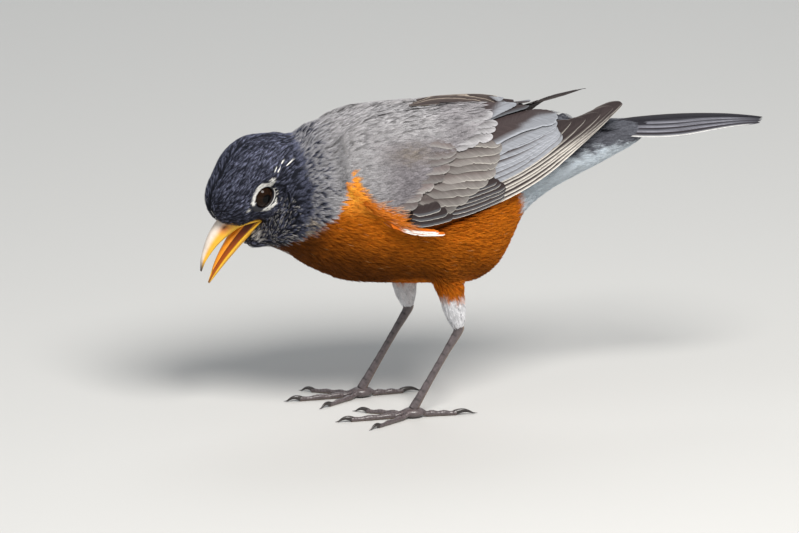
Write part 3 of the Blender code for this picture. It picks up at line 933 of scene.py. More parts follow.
def lay_tufts():
    groups = []
    for line, count, length, width, droop, rise, low, high in TUFTS:
        for sign in (-1, 1):
            place = smooth_through(line, rng.random(count))
            roots = np.column_stack([place[:, 0], np.full(count, 34.0 * sign), place[:, 1]])
            roots = roots + rng.normal(0, 0.9, (count, 3))
            white = low + (high - low) * rng.random(count)
            base = blend(colour("breast") * 1.2, colour("beige"), white * 0.6)
            # The tips take the orange that is painted brighter at the wing's bend, as where light falls.
            tip = blend(colour("lit_wedge"), colour("white") * (1, 0.90, 0.78), white)
            flow = unit(np.tile((1, 0.05 * sign, droop), (count, 1)))
            groups += lay(mantle, roots, "lock", length, width, 0.2, rise, base, tip, jitter=0.2, flow=flow)
    return groups


for name, lay_part, slot in (
    ("hood", lay_hood, "hood"),
    ("hairlines", lay_hairlines, "hood"),
    ("bristles", lay_bristles, "hood"),
    ("trunk", lay_trunk, "breast"),
    ("shanks", lay_shanks, "shank"),
    ("tufts", lay_tufts, "breast"),
):
    coat("coat_" + name, lay_part(), slot + "_plumage")


# The eyes.

EYE_RINGS, EYE_SIDES = 60, 64
PUPIL, PUPIL_RIM, IRIS = 23, 26, 61  # degrees from the pole


def ball(centre, radii, rings, sides, axes=np.eye(3)):
    """Points and faces of a ball, and their angles from its pole, the last axis, and round it."""
    polar = np.linspace(0, math.pi, rings + 1)[:, None]
    turn = np.linspace(0, 2 * math.pi, sides, endpoint=False)
    shape = (np.sin(polar) * np.cos(turn), np.sin(polar) * np.sin(turn), np.cos(polar) + 0 * turn)
    points = centre + np.stack(shape, -1) * radii @ axes
    faces = cells(rings + 1, sides, closed=True)[:, [0, 3, 2, 1]]
    return points.reshape(-1, 3), faces, np.repeat(polar, sides), np.tile(turn, rings + 1)


def eye_centre(side):
    low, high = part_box("eye_" + side)
    return (np.array(low) + np.array(high)) / 2 / MM - SHIFT


def eye_tint(polar, turn):
    """Black pupil, its rim, the flecked iris and the dark ball round it."""
    angle = np.degrees(polar)[:, None]
    fleck = 1 + 0.25 * np.sin(17 * turn) * np.sin(5 * turn + 1)
    tint = np.where(angle < IRIS, fleck[:, None] * colour("iris"), colour("eyeball"))
    tint = np.where(angle < PUPIL_RIM, colour("pupil_rim"), tint)
    return np.where(angle < PUPIL, colour("pupil"), tint)


for side, sign in SIDES.items():
    pole = HEAD_LEFT * sign
    across = unit(np.cross(pole, (0.3, 0.2, 0.9)))
    axes = np.array([across, np.cross(pole, across), pole])
    points, faces, polar, turn = ball(eye_centre(side), EYE_RADIUS, EYE_RINGS, EYE_SIDES, axes)
    eye = make("eyeball_" + side, points, faces, eye_tint(polar, turn))
    finish_piece(eye, FINISHES["eye"], ("eye_" + side,))


# Wings and tail: one modelled feather at a time, stacked as they fold.

# The folded left wing's sections: lower edge and upper edge, from the shoulder to the tip.
WING_SECTIONS = (
    ((-37, -25, 99), (-36, -14, 112.5)),
    ((-27, -30, 89), (-24, -9, 118.8)),
    ((-12, -32, 78.5), (-8, -6, 121.6)),
    ((6, -31.5, 82.5), (8, -4.5, 122.4)),
    ((27, -29, 90), (27, -4, 122)),
    ((44, -24, 98.5), (42, -4.5, 119.5)),
    ((60, -16, 106.5), (58, -7, 117.5)),
    ((79.5, -8.5, 119), (79, -8, 120.3)),
)
WING_SHORTER = {"left": 0, "right": 10}  # how much further forward the tip is held
WING_FOLD, WING_TIP_X = 20, 79.5
WING_MARGIN = 7  # how far the sheet that feathers lie on runs past the wing's edges
WING_SINK = 1.1  # how deep that sheet lies under the solid's face
# The backing under the feathers: its inset from the wing's lower edge, how far it runs past the upper edge
# and onto the back, and its depth.
BASE_INSET, BASE_PAST, BASE_DEPTH = 3.0, 2.5, 1.3
BASE_SPAN, BASE_PAST_SPAN = (-14, 52), (16, 42)  # and the x that it covers, and where it runs onto the back
SHEET_ROWS, SHEET_COLUMNS = 84, 48
SHEET_RUN = (-0.04, 1.05)  # the shares of the sections that the sheet runs over
TIP_SECTION = 0.9  # past this share of its rows the sheet keeps one upward direction
SHEET_STAND = 25  # how far outside the wing its face is looked for from
SHEET_SMOOTHING = 6
ASIDE, EDGE_ASIDE = 80, 6  # distances from the middle: outside the wings, and of their upper edges
ABOVE, ABOVE_BACK = 140, 135  # heights over the bird

# Rows of wing feathers in side view, each from its uppermost feather to its lowest: number, places (x, z) of
# the roots, of the middles and of the tips, widths of the web below and above the shaft, lift at root and
# tip, and kind.
WING_ROWS = {
    "primaries": (
        7,
        ((2, 96), (-2, 90), (-5, 84)),
        ((29, 101.8), (33, 99), (37, 95.6)),
        ((58.4, 114.6), (67.3, 115.9), (76.4, 118.6), (81.2, 120.2), (77.4, 117.6)),
        (2.3, 8.0),
        (0.0, 0.1),
        "primary",
    ),
    "secondaries": (
        6,
        ((10, 107), (4, 94)),
        ((32, 110.3), (30, 101.4)),
        ((51.5, 114.0), (53.0, 111.2)),
        (2.3, 6.0),
        (0.15, 0.35),
        "secondary",
    ),
    "tertial_3": (1, ((8, 104),), ((30, 111.4),), ((52.2, 115.2),), (3.2, 6.0), (0.3, 0.5), "pale"),
    "tertial_2": (1, ((12, 111),), ((33, 117.2),), ((52.8, 117.4),), (6.2, 6.0), (0.4, 0.65), "tertial"),
    # painted shadow: a tertial's inner web, painted dark as the shadow it lies in behind the first tertial
    "tertial_shaded_web": (1, ((14, 118),), ((28, 120.4),), ((43.0, 120.8),), (3.4, 3.0), (0.5, 0.75), "slate"),
    "tertial_1": (1, ((8, 116.5),), ((22, 120.0),), ((37.2, 122.0),), (3.8, 3.8), (0.6, 0.95), "inner"),
    "primary_coverts": (
        6,
        ((4, 94), (0, 84.5)),
        ((13, 95.2), (12, 87.0)),
        ((22.5, 97.6), (26.6, 94.6), (25.8, 91.4)),
        (1.3, 3.2),
        (0.4, 0.9),
        "dark",
    ),
    "alula": (
        3,
        ((-12, 88), (-13, 83.6)),
        ((-7, 88.6), (-4, 84.0)),
        ((-1, 89.6), (4.6, 85.4)),
        (1.6, 2.8),
        (0.9, 1.5),
        "dark",
    ),
    "lining": (
        4,
        ((-21, 83.6), (-19, 81.9)),
        ((-11, 81.2), (-9.5, 79.5)),
        ((-2.6, 79.4), (0.5, 78.4)),
        (0.8, 1.0),
        (0.3, 0.9),
        "lining",
    ),
    "greater_coverts": (
        9,
        ((6, 112.4), (-3, 101), (-12, 90)),
        ((16, 113.0), (9, 102.5), (-4, 90.3)),
        ((26.4, 112.8), (24.4, 105.6), (18.4, 98.2), (5.4, 90.6)),
        (3.8, 3.4),
        (0.45, 1.0),
        "greater",
    ),
    "median_coverts": (
        8,
        ((-6, 113), (-11, 103), (-21, 91)),
        ((1, 112.6), (-4, 103), (-16, 91.2)),
        ((7.6, 112.2), (5.4, 106.4), (-1.6, 100.0), (-10.4, 91.8)),
        (3.2, 2.8),
        (0.8, 1.5),
        "median",
    ),
    "scapulars": (
        6,
        ((6, 119.0), (4, 115.5), (-3, 110.5)),
        ((15, 119.6), (15, 116.8), (6, 111.8)),
        ((24.8, 120.4), (27.0, 116.4), (17.5, 112.0)),
        (4.2, 3.4),
        (0.7, 1.2),
        "scapular",
    ),
}
VANE_ACROSS = np.array((-1, -0.93, -0.84, -0.55, -0.2, -0.05, 0.05, 0.2, 0.55, 0.84, 0.93, 1))
VANE_STEPS, TAIL_STEPS, EDGE_STEPS = 40, 48, 60
SHINGLE = 1.0 / 7.5  # how much higher a web lies for each millimetre towards the wing's lower edge
VANE_CAMBER = 0.035
UNEVEN = {"greater": 0.5, "median": 0.6, "scapular": 0.9}  # how far feathers stray from their row
SHADES = {"greater": 0.12, "median": 0.14, "scapular": 0.1}  # how much their colours differ
# How worn the edges of the vanes are, and where along them their tips begin to round off.
FRAY = {
    "primary": 0.03,
    "slate": 0.04,
    "raised": 0.04,
    "lining": 0.1,
    "greater": 0.06,
    "median": 0.08,
    "scapular": 0.12,
}
BLUNT = {
    "primary": 0.74,
    "secondary": 0.9,
    "slate": 0.8,
    "raised": 0.8,
    "lining": 0.93,
    "dark": 0.86,
    "greater": 0.78,
    "median": 0.62,
    "scapular": 0.6,
    "rectrix": 0.9,
}


def folded(x, side):
    """x on this wing of a place that is at x on the left one."""
    return x - WING_SHORTER[side] * np.maximum(0, x - WING_FOLD) / (WING_TIP_X - WING_FOLD)


def beside(grid, **padding):
    """The four neighbours of each value of a grid."""
    padded = np.pad(grid, 1, **padding)
    return np.stack([padded[1:-1, :-2], padded[1:-1, 2:], padded[:-2, 1:-1], padded[2:, 1:-1]])


def wing_sheet(side):
    """The smooth sheet that a wing's feathers lie on, running on past its edges."""
    sections = [(*low, *high) for low, high in WING_SECTIONS]
    values = smooth_through(sections, np.linspace(*SHEET_RUN, SHEET_ROWS))
    low, high = values[:, :3], values[:, 3:]
    for edge in (low, high):
        edge[:, 0] = folded(edge[:, 0], side)
        edge[:, 1] *= SIDES[side]
    tip = TIP_SECTION * SHEET_ROWS
    up = unit(np.where(np.arange(SHEET_ROWS)[:, None] < tip, high - low, (high - low)[int(tip)]))
    out = unit(np.cross((1.0, 0, 0), up)) * SIDES[side]
    span = np.linalg.norm(high - low, axis=1)[:, None]
    height = -WING_MARGIN + (span + 2 * WING_MARGIN) * np.linspace(0, 1, SHEET_COLUMNS)
    flat = low[:, None] + up[:, None] * height[..., None]
    depth = np.full(height.shape, np.nan)
    for i, j in np.ndindex(*depth.shape):
        start = Vector(flat[i, j] + out[i] * SHEET_STAND)
        place, _, _, gap = wing_solid[side].tree.ray_cast(start, Vector(-out[i]), 2 * SHEET_STAND)
        if place is not None:
            depth[i, j] = SHEET_STAND - gap
    while np.isnan(depth).any():
        around = beside(depth, constant_values=np.nan)
        count = (~np.isnan(around)).sum(0)
        depth = np.where(np.isnan(depth) & (count > 0), np.nansum(around, 0) / np.maximum(count, 1), depth)
    for _ in range(SHEET_SMOOTHING):
        depth = (beside(depth, mode="edge").sum(0) + 2 * depth) / 6
    points = flat + out[:, None] * (depth - WING_SINK)[..., None]
    quads = cells(SHEET_ROWS, SHEET_COLUMNS)
    sheet = Form(points.reshape(-1, 3), np.vstack([quads[:, [0, 3, 2]], quads[:, [0, 2, 1]]]))
    if dot(sheet.normals.mean(0), out.mean(0)) < 0:
        sheet = Form(sheet.points, sheet.faces[:, ::-1])
    x = points[..., 0]
    past = (x > BASE_PAST_SPAN[0]) & (x < BASE_PAST_SPAN[1])
    covered = (height > BASE_INSET) & (height < span + np.where(past, BASE_PAST, -BASE_INSET))
    covered &= (x > BASE_SPAN[0]) & (x < BASE_SPAN[1])
    below = BASE_DEPTH * (1 - 0.9 * step(height - span, -6, 0))
    return sheet, sheet.points - sheet.normals * below.reshape(-1, 1), covered.ravel()


def on_sheet(sheet, places, side):
    """Places (x, z) in the left wing's side view, as points on this wing's sheet."""
    sign = SIDES[side]
    points = []
    for x, z in places:
        x = float(folded(x, side))
        hit = sheet.tree.ray_cast(Vector((x, -ASIDE * sign, z)), Vector((0, sign, 0)))[0]
        if hit is None:
            hit = sheet.tree.find_nearest(Vector((x, -EDGE_ASIDE * sign, z)))[0]
        points.append(tuple(hit))
    return np.array(points)


def vane_outline(along, kind):
    """Share of the full width along a feather: narrow at the quill, rounded or drawn out at the tip."""
    start = 0.35 + 0.65 * step(along, 0, 0.25)
    blunt = BLUNT.get(kind, 0.84)
    late = np.clip((along - blunt) / (1 - blunt), 0, 1)
    power = 1.7 if kind in ("primary", "tertial") else 2.2
    return start * np.sqrt(np.maximum(0, 1 - late**power))


def vane_tint(kind, along, across):
    """Colours over a vane: along 0 to 1 from the quill, across -1 to 1 from the lower or outer edge."""
    t, a = np.broadcast_arrays(along[:, None], across)
    dark, grey, fringe = colour("vane"), colour("vane_grey"), colour("fringe")
    edge = step(np.abs(a), 0.84, 0.93)
    pale = step(-a, 0.79, 0.87) * (1 - 0.8 * step(t, 0.72, 0.88))
    rim = (0.35 + 0.25 * np.sign(-a)) * step(np.abs(a), 0.88, 0.95) * step(t, 0.6, 0.8)
    grey_edge = (grey * 1.35, 0.8 * edge * step(-a, -0.5, 0.5))
    greyed = step(0.9 * step(t, 0.4, 0.85) - a, 0.6, 0.95)
    white = step(-a, 0.0, 0.4) * step(t, 0.12, 0.3)
    kinds = {
        "primary": (dark * 0.9, (dark * 0.7, step(t, 0.5, 1)), (fringe, np.maximum(pale, rim))),
        "secondary": (
            dark,
            (grey * 1.1, step(-a, 0.1, 0.4)),
            (grey * 1.5, step(-a, 0.84, 0.93)),
            (grey, 0.5 * step(t, 0.8, 1)),
        ),
        "pale": (dark * 1.6, (grey, step(-a, -0.55, 0.1)), grey_edge),
        "tertial": (dark * 1.1, (grey * 0.88, greyed), grey_edge),
        "inner": (dark * 1.1, (grey, step(t - 0.25 * a, 0.55, 0.85))),
        # painted shadow: the web darkened as it lies in shadow behind the first tertial
        "slate": (dark * 0.8, (grey * 0.35, step(-a, 0.3, 0.9)), (grey * 0.6, 0.5 * edge)),
        "raised": (
            colour("raised"),
            (colour("raised_tip"), step(np.abs(a), 0.3, 0.9)),
            (colour("beige") * 0.9, 0.8 * edge),
        ),
        "dark": (
            dark * 0.65,
            (grey * 0.42, 0.7 * step(-a, 0.1, 0.6)),
            (fringe * 0.9, 0.85 * edge * step(-a, -0.95, -0.8)),
        ),
        "greater": (
            colour("greater"),
            (colour("greater_edge"), step(-a, 0.1, 0.8)),
            (colour("greater_tip"), 0.5 * step(t, 0.75, 1)),
            (fringe * 0.62, 0.6 * edge * step(t, 0.3, 0.6) * step(-a, -0.95, 0)),
        ),
        "median": (
            colour("median"),
            (colour("median_edge"), step(np.abs(a), 0.3, 0.9)),
            (fringe * 0.6, 0.4 * edge * step(t, 0.4, 0.8)),
        ),
        "lining": (colour("breast") * 1.4, (colour("white") * 0.85, white)),
        "scapular": (
            colour("mantle") * 0.7,
            (colour("mantle_tip") * 0.8, 0.75 * step(np.abs(a), 0.2, 0.9)),
            (colour("mantle_tip") * 0.95, 0.7 * step(t, 0.72, 1)),
        ),
        "rectrix": (colour("rectrix"),),
    }
    return painted(*kinds[kind], (colour("quill"), 0.75 * np.exp(-((a / 0.05) ** 2))))


def frayed_edges(along, across, amount):
    """Shares of a vane's width: whole inside, and unevenly worn at its edges, with a split or two."""
    worn = np.ones((len(along), len(across)))
    for edge in (-1, 1):
        loss = amount * rng.random(len(along)) * (0.4 + 0.6 * step(along, 0.3, 0.8))
        for _ in range(2):
            at, wide = rng.uniform(0.45, 0.95), rng.uniform(0.008, 0.02)
            loss = loss + 2.2 * amount * np.exp(-(((along - at) / wide) ** 2))
        near = step(np.abs(across), 0.5, 1.0) * (np.sign(across) == edge)
        worn = worn - loss[:, None] * near[None]
    return worn


class Vanes:
    """Gathers modelled feathers into one mesh, each with its own cell of the bake's map."""

    def __init__(self):
        self.points, self.faces, self.tints, self.barbs, self.patches = [], [], [], [], []

    def add(self, points, tint, along_mm, across_mm):
        """points and tint by row along and column across; along_mm and across_mm place the barbs."""
        rows, columns = points.shape[:2]
        self.faces.append(cells(rows, columns) + sum(len(part) for part in self.points))
        self.points.append(points.reshape(-1, 3))
        self.tints.append(tint.reshape(-1, 3))
        barb = along_mm - 1.2 * np.abs(across_mm)
        self.barbs.append(np.stack([barb, across_mm], -1).reshape(-1, 2) * 0.1)
        across, along = np.meshgrid(np.linspace(0, 1, columns), np.linspace(0, 1, rows))
        self.patches.append(np.stack([across, along], -1).reshape(-1, 2))

    def build(self, name, replaces):
        across = math.ceil(math.sqrt(len(self.patches)))
        corners = [np.array((k % across, k // across)) for k in range(len(self.patches))]
        uv = [(corner + 0.04 + 0.92 * patch) / across for corner, patch in zip(corners, self.patches)]
        layers = (self.points, self.faces, self.tints, self.barbs, uv)
        points, faces, tints, barbs, uv = map(np.vstack, layers)
        obj = make(name, points, faces, tints, uv)
        layer = obj.data.uv_layers.new(name="Vane")
        layer.data.foreach_set("uv", barbs[faces.ravel()].astype(np.float32).ravel())
        finish_piece(obj, FINISHES["vanes"], replaces)


def lay_vane(vanes, sheet, sign, knots, widths, lifts, kind):
    """One feather on a sheet, its shaft through three points of it."""
    along = 1 - (1 - np.linspace(0, 1, VANE_STEPS)) ** 1.7
    shaft, normals = sheet.nearest(smooth_through(knots, along))
    ahead = unit(np.gradient(shaft, axis=0))
    up = unit(np.cross(normals, ahead)) * sign
    width = vane_outline(along, kind)[:, None]
    below, above = widths
    across = VANE_ACROSS
    reach = np.where(across < 0, below, above) * across
    across_mm = width * reach * frayed_edges(along, across, FRAY.get(kind, 0.05))
    points = shaft[:, None] + up[:, None] * across_mm[..., None]
    snapped, face_normals = sheet.nearest(points.reshape(-1, 3))
    lift = lifts[0] + (lifts[1] - lifts[0]) * along[:, None] - SHINGLE * across_mm
    lift = lift + VANE_CAMBER * (below + above) * 0.5 * (1 - across**2) * width
    points = (snapped + face_normals * lift.reshape(-1, 1)).reshape(points.shape)
    tint = vane_tint(kind, along, across) * rng.normal(1, SHADES.get(kind, 0.05))
    length = np.linalg.norm(np.diff(shaft, axis=0), axis=1).sum()
    vanes.add(points, tint, along[:, None] * length, across_mm)


def row_places(places, count):
    if len(places) == 1 or count == 1:
        return [places[0]] * count
    return evenly_through(places, count)


# The right wing's dark inner feathers, which lie over the top of the back: their y midway along the back.
BACK_FEATHERS = (4.6, 3.0, 1.5)
BACK_SPAN = (0, 17, 36.5)  # x of the root, middle and tip
BACK_WIDTHS, BACK_LIFTS = (2.6, 1.8), (0.25, 0.6)


def on_mantle(x, y, above):
    """The place on the mantle straight below this height."""
    return mantle.tree.ray_cast(Vector((x, y, above)), Vector((0, 0, -1)))[0]


def lay_back_feathers(vanes):
    for k, y in enumerate(BACK_FEATHERS):
        x = np.array(BACK_SPAN) - (2.0 * k, 1.0 * k, 5.0 * k)
        knots = np.array([on_mantle(*place, ABOVE_BACK) for place in zip(x, y * np.array((1.15, 1, 0.75)))])
        lay_vane(vanes, mantle, -1, knots, BACK_WIDTHS, np.array(BACK_LIFTS) + 0.1 * k, "raised")


# The webs that run past a wing's upper edge settle on the back: the share of their height left to them, how
# far past the edge they bend, the x over which this ends, and the least height at which it happens.
BACK_REST, BACK_REST_PAST, BACK_REST_SPAN, BACK_REST_FROM = 0.35, (-1.5, 2.0), (40, 50), 112


def upper_edge(x, side):
    """y and height of a wing's upper edge at these x."""
    edge = evenly_through([high for _, high in WING_SECTIONS], EDGE_STEPS)
    edge_x = folded(edge[:, 0], side)
    return np.interp(x, edge_x, edge[:, 1] * SIDES[side]), np.interp(x, edge_x, edge[:, 2])


def settled(points, side, rest):
    """A wing's points, those past its upper edge let down to this share of their height over the back."""
    points = points.copy()
    edge_y, _ = upper_edge(points[:, 0], side)
    past = np.abs(edge_y) - points[:, 1] * np.sign(edge_y)
    share = step(past, *BACK_REST_PAST) * (1 - step(points[:, 0], *BACK_REST_SPAN))
    share = share * (points[:, 2] > BACK_REST_FROM)
    for i in np.where(share > 0)[0]:
        x, y, z = points[i]
        hit = on_mantle(x, y, ABOVE)
        if hit is not None and z > hit.z:
            points[i, 2] -= (1 - rest) * share[i] * (z - hit.z)
    return points


# The right wing's tip is held flatter than the left's, and a little higher.
FLAT_SPAN, FLAT_TURN = (38, 60), 36
TIP_SPAN, TIP_RISE = (40, 70), 2.8


def flattened(points):
    """The right wing's points, with its tip turned about its upper edge."""
    x, y, z = points.T
    hinge_y, hinge_z = upper_edge(x, "right")
    turn = np.radians(FLAT_TURN) * step(x, *FLAT_SPAN)
    out, up = y - hinge_y, z - hinge_z
    y = hinge_y + out * np.cos(turn) - up * np.sin(turn)
    z = hinge_z + out * np.sin(turn) + up * np.cos(turn) + TIP_RISE * step(x, *TIP_SPAN)
    return np.column_stack([x, y, z])


for side, sign in SIDES.items():
    sheet, inner, covered = wing_sheet(side)
    vanes = Vanes()
    for count, roots, middles, tips, widths, lifts, kind in WING_ROWS.values():
        paths = list(zip(row_places(roots, count), row_places(middles, count), row_places(tips, count)))
        for path in reversed(paths):
            path = [np.array(place) + rng.normal(0, UNEVEN.get(kind, 0.18), 2) for place in path]
            lay_vane(vanes, sheet, sign, on_sheet(sheet, path, side), widths, lifts, kind)
    vanes.points = [settled(points, side, BACK_REST) for points in vanes.points]
    inner = settled(inner, side, 0)
    if side == "right":
        vanes.points = [flattened(points) for points in vanes.points]
        inner = flattened(inner)
        lay_back_feathers(vanes)
    vanes.build(f"wing_{side}_feathers", WING_NODES[side])
    used, faces = np.unique(sheet.faces[covered[sheet.faces].all(1)], return_inverse=True)
    tint = np.tile(colour("vane") * 1.4, (len(used), 1))
    base = make(f"wing_{side}_base", inner[used], faces.reshape(-1, 3), tint)
    finish_piece(base, FINISHES["skin"])


# The tail's sections, over the solid's: x, height, half width, how far its edges hang, and roll in degrees.
TAIL_SECTIONS = (
    (60, 107.5, 8, 8.0, 0),
    (80, 110.4, 10.5, 8.6, 0),
    (103, 111.0, 12.5, 5.4, 0),
    (124, 110.1, 11.2, 3.1, 5),
    (142, 107.8, 8.5, 1.0, 9),
)
TAIL_ROOT_X, TAIL_REACH = 72, 2.2  # where the feathers start, and how far they run past the solid
TAIL_FEATHERS = 6  # on each side
TAIL_ROUNDING = 4
TAIL_LIFT = 0.24  # from one feather to the one over it
TAIL_INNER = 6.2  # half the width of the inner webs
TAIL_ROWS = 80

tail_x, *tail_curves = evenly_through(TAIL_SECTIONS, TAIL_ROWS).T


def tail_shape(x):
    """Height, half width, hang and roll of the tail at these x."""
    return [np.interp(x, tail_x, curve) for curve in tail_curves]


tail = Vanes()
across = VANE_ACROSS
along = 1 - (1 - np.linspace(0, 1, TAIL_STEPS)) ** 1.6
late = step(along, 0.75, 1)[:, None]
width = (vane_outline(along, "rectrix") * (0.7 + 0.3 * step(along, 0, 0.5)))[:, None]
for k in range(TAIL_FEATHERS, 0, -1):
    for sign in (-1, 1):
        place = (k - 0.55) / TAIL_FEATHERS
        tip = TAIL_TIP_X + TAIL_REACH - TAIL_ROUNDING * place**2 - 0.4
        x = (TAIL_ROOT_X + (tip - TAIL_ROOT_X) * along)[:, None]
        outer = 3.4 - 0.32 * k
        middle = tail_shape(x)[1] * place * (0.55 + 0.45 * step(x, 60, 110)) - 0.55 * outer
        across_mm = width * (np.where(across < 0, outer, TAIL_INNER) * across)
        y = sign * np.maximum(middle, 0.4) - sign * across_mm
        swept_x = x - 1.2 * np.abs(across_mm) * step(along, 0.7, 1)[:, None] * 0.35
        lift = TAIL_LIFT * (3.2 - k) * (1 - 0.35 * along[:, None]) - 0.05 * across_mm
        lift = lift + 0.3 * (1 - across**2) * width + (0.06 if sign < 0 else 0)
        height, half, hang, roll = tail_shape(swept_x)
        z = height - hang * (y / half) ** 2 - y * np.tan(np.radians(roll)) + lift
        outer_web = 0.8 * step(k, 1.8, 3.2) * step(-across, 0.35, 0.7)
        streaks = 0.75 + 0.25 * np.sin(9 * across + 0.25 * x + k)
        tint = vane_tint("rectrix", along, across)
        tint = blend(tint, colour("rectrix_outer"), outer_web * streaks * (1 - 0.7 * late))
        if k == TAIL_FEATHERS:
            strip = step(-across, 0.50, 0.80) * (1 - 0.9 * step(-across, 0.86, 0.98))
            tint = blend(tint, colour("white") * 0.85, 0.8 * strip * step(0.97 - along, 0, 0.08)[:, None])
        tail.add(np.stack([swept_x, y, z], -1), tint, x, across_mm)
tail.build("tail_feathers", ("tail",))


# The bill's halves, in the head's own frame: x, height of the cutting edge, height of the ridge or keel, and
# half width. The tongue's line: x, height and radius.

BILL_UPPER = (
    (6.8, -10.1, -8.8, 7.7),
    (13.4, -6.4, -0.8, 5.2),
    (18, -5.2, 0.4, 4.2),
    (25.3, -4.6, -1.0, 3.0),
    (32.5, -6.3, -4.6, 1.5),
    (36.8, -8.9, -8.3, 0.35),
)
BILL_LOWER = (
    (6.8, -10.7, -12.5, 7.5),
    (13, -10.9, -15, 5.2),
    (20, -11.4, -15.2, 3.9),
    (29, -12.7, -15.3, 2.5),
    (38, -15.4, -16, 0.4),
)
TONGUE = ((12, -9.8, 1.7), (20, -9.9, 1.6), (27, -11.0, 1.15), (33, -12.9, 0.3))
BILL_ROWS, BILL_SIDES = 56, 40
TONGUE_ROWS, TONGUE_SIDES, TONGUE_SQUASH = 30, 16, 0.55


def bill_half(sections, upper):
    """One half of the bill: a keeled arch outside, and a shallow trough inside between its cutting edges."""
    x, edge, ridge, half = evenly_through(sections, BILL_ROWS).T[..., None]
    along = (x - x[0]) / (x[-1] - x[0])
    angle = np.linspace(0, 2 * math.pi, BILL_SIDES, endpoint=False)
    side, rise = np.cos(angle), np.sin(angle)
    outside = rise >= 0
    keel = np.maximum(rise, 0) ** (0.85 if upper else 1)
    trough = 0.32 * -rise * np.minimum(1, 1.2 - along)
    y = half * side * np.where(outside, 1 - 0.10 * rise, 0.86)
    z = edge + (ridge - edge) * np.where(outside, keel, trough)
    outer = blend(colour("horn"), colour("horn_edge"), np.maximum(0, 1 - rise * 3.5) + 0 * x)
    dark = 0.6 * step(along, 0.94, 1.0)
    if upper:
        dark = step(along, 0.86, 0.99)
        nostril = np.exp(-(((x - 18.5) / 2.4) ** 2)) * np.exp(-(((rise - 0.5) / 0.25) ** 2))
        slit = np.exp(-(((x - 18.2) / 1.2) ** 2)) * np.exp(-(((rise - 0.60) / 0.10) ** 2))
        y = y - 0.35 * slit * np.sign(side) * outside
        outer = painted(
            outer,
            # painted highlight: the ridge near the root pale cream, mostly as the sky's reflection
            (colour("culmen_highlight"), step(rise, 0.45, 0.9) * step(along, 0.12, 0.3)),
            (colour("nostril"), 0.85 * nostril),
            (colour("nostril_slit"), 0.9 * slit),
            (colour("hood"), step(rise, 0.4, 0.6) * (1 - step(x, 14, 15.5))),
        )
    outer = blend(outer, colour("horn_tip"), dark)
    inner = painted(
        colour("bill_inside"),
        # painted shade: the lining darkened towards the back of the mouth
        (colour("gullet_shade"), 1 - step(x, 9, 16)),
        (colour("horn_edge"), step(np.abs(side), 0.62, 0.86) * step(along, -0.1, 0.1)),
        (colour("horn_tip"), 0.6 * step(along, 0.9, 1.0)),
    )
    rings = np.stack([x + 0 * y, y, z], -1)
    return tube(from_head(rings), np.where(outside[:, None], outer, inner))


def tube(rings, tints, closed=True):
    """Points, faces and tints of a tube over rings of equal count, with its ends drawn together if closed."""
    tints = np.broadcast_to(tints, rings.shape)
    if closed:
        first, last = (np.broadcast_to(ring.mean(0), ring.shape)[None] for ring in (rings[0], rings[-1]))
        rings = np.concatenate([first, rings, last])
        tints = np.concatenate([tints[:1], tints, tints[-1:]])
    return rings.reshape(-1, 3), cells(*rings.shape[:2], closed=True), tints.reshape(-1, 3)


for name, sections, upper in (("upper", BILL_UPPER, True), ("lower", BILL_LOWER, False)):
    half = make("bill_horn_" + name, *bill_half(sections, upper))
    finish_piece(half, FINISHES["horn"], ("bill_" + name,))


def round_rings(points, radii, sides, squash=1.0, up=(0, 0, 1.0)):
    """Rings round a line of points, with the line's own sideways and upward directions."""
    ahead = unit(np.gradient(points, axis=0))
    across = unit(np.cross(up, ahead))
    rise = np.cross(ahead, across)
    angle = np.linspace(0, 2 * math.pi, sides, endpoint=False)[:, None]
    circle = across[:, None] * np.cos(angle) + rise[:, None] * (np.sin(angle) * squash)
    return points[:, None] + circle * radii[..., None]


place, height, radius = evenly_through(TONGUE, TONGUE_ROWS).T
tongue_line = from_head(np.column_stack([place, 0 * place, height]))
tongue_rings = round_rings(tongue_line, radius[:, None], TONGUE_SIDES, TONGUE_SQUASH, HEAD_UP)
tongue = make("tongue_soft", *tube(tongue_rings, colour("tongue"), closed=False))
finish_piece(tongue, FINISHES["horn"], ("tongue",))


# Lids: a raised rim round each eye, feathered white but for a gap before the eye and one behind it. The rim's
# section is given out from the eye's axis and up it.

LID = ((4.15, 2.05), (4.2, 2.6), (4.5, 2.85), (4.95, 2.8), (5.6, 2.35), (6.3, 1.3), (6.5, 0.2))
LID_ROWS, LID_SIDES = 16, 96


def lid(side):
    out, rise = evenly_through(LID, LID_ROWS).T[..., None]
    angle = np.linspace(0, 2 * math.pi, LID_SIDES, endpoint=False)
    degrees = np.degrees(angle)
    turn = np.cos(angle)[:, None] * HEAD_FORWARD + np.sin(angle)[:, None] * HEAD_UP
    rings = eye_centre(side) + HEAD_LEFT * SIDES[side] * rise[..., None]
    rings = rings + turn * (out * (1 + 0.07 * np.cos(2 * angle)))[..., None]
    front = step(degrees, 12, 24) * step(172 - degrees, 0, 10)
    rear = step(degrees, 180, 190) * step(325 - degrees, 0, 12)
    end = np.where(degrees < 176, 5.6, 6.2)
    white = np.maximum(front, rear) * step(out, 4.5, 4.75) * (1 - step(out, end, end + 0.3))
    return tube(rings, blend(colour("hood"), colour("white"), white), closed=False)


# Legs: scaled shanks and toes, and claws.

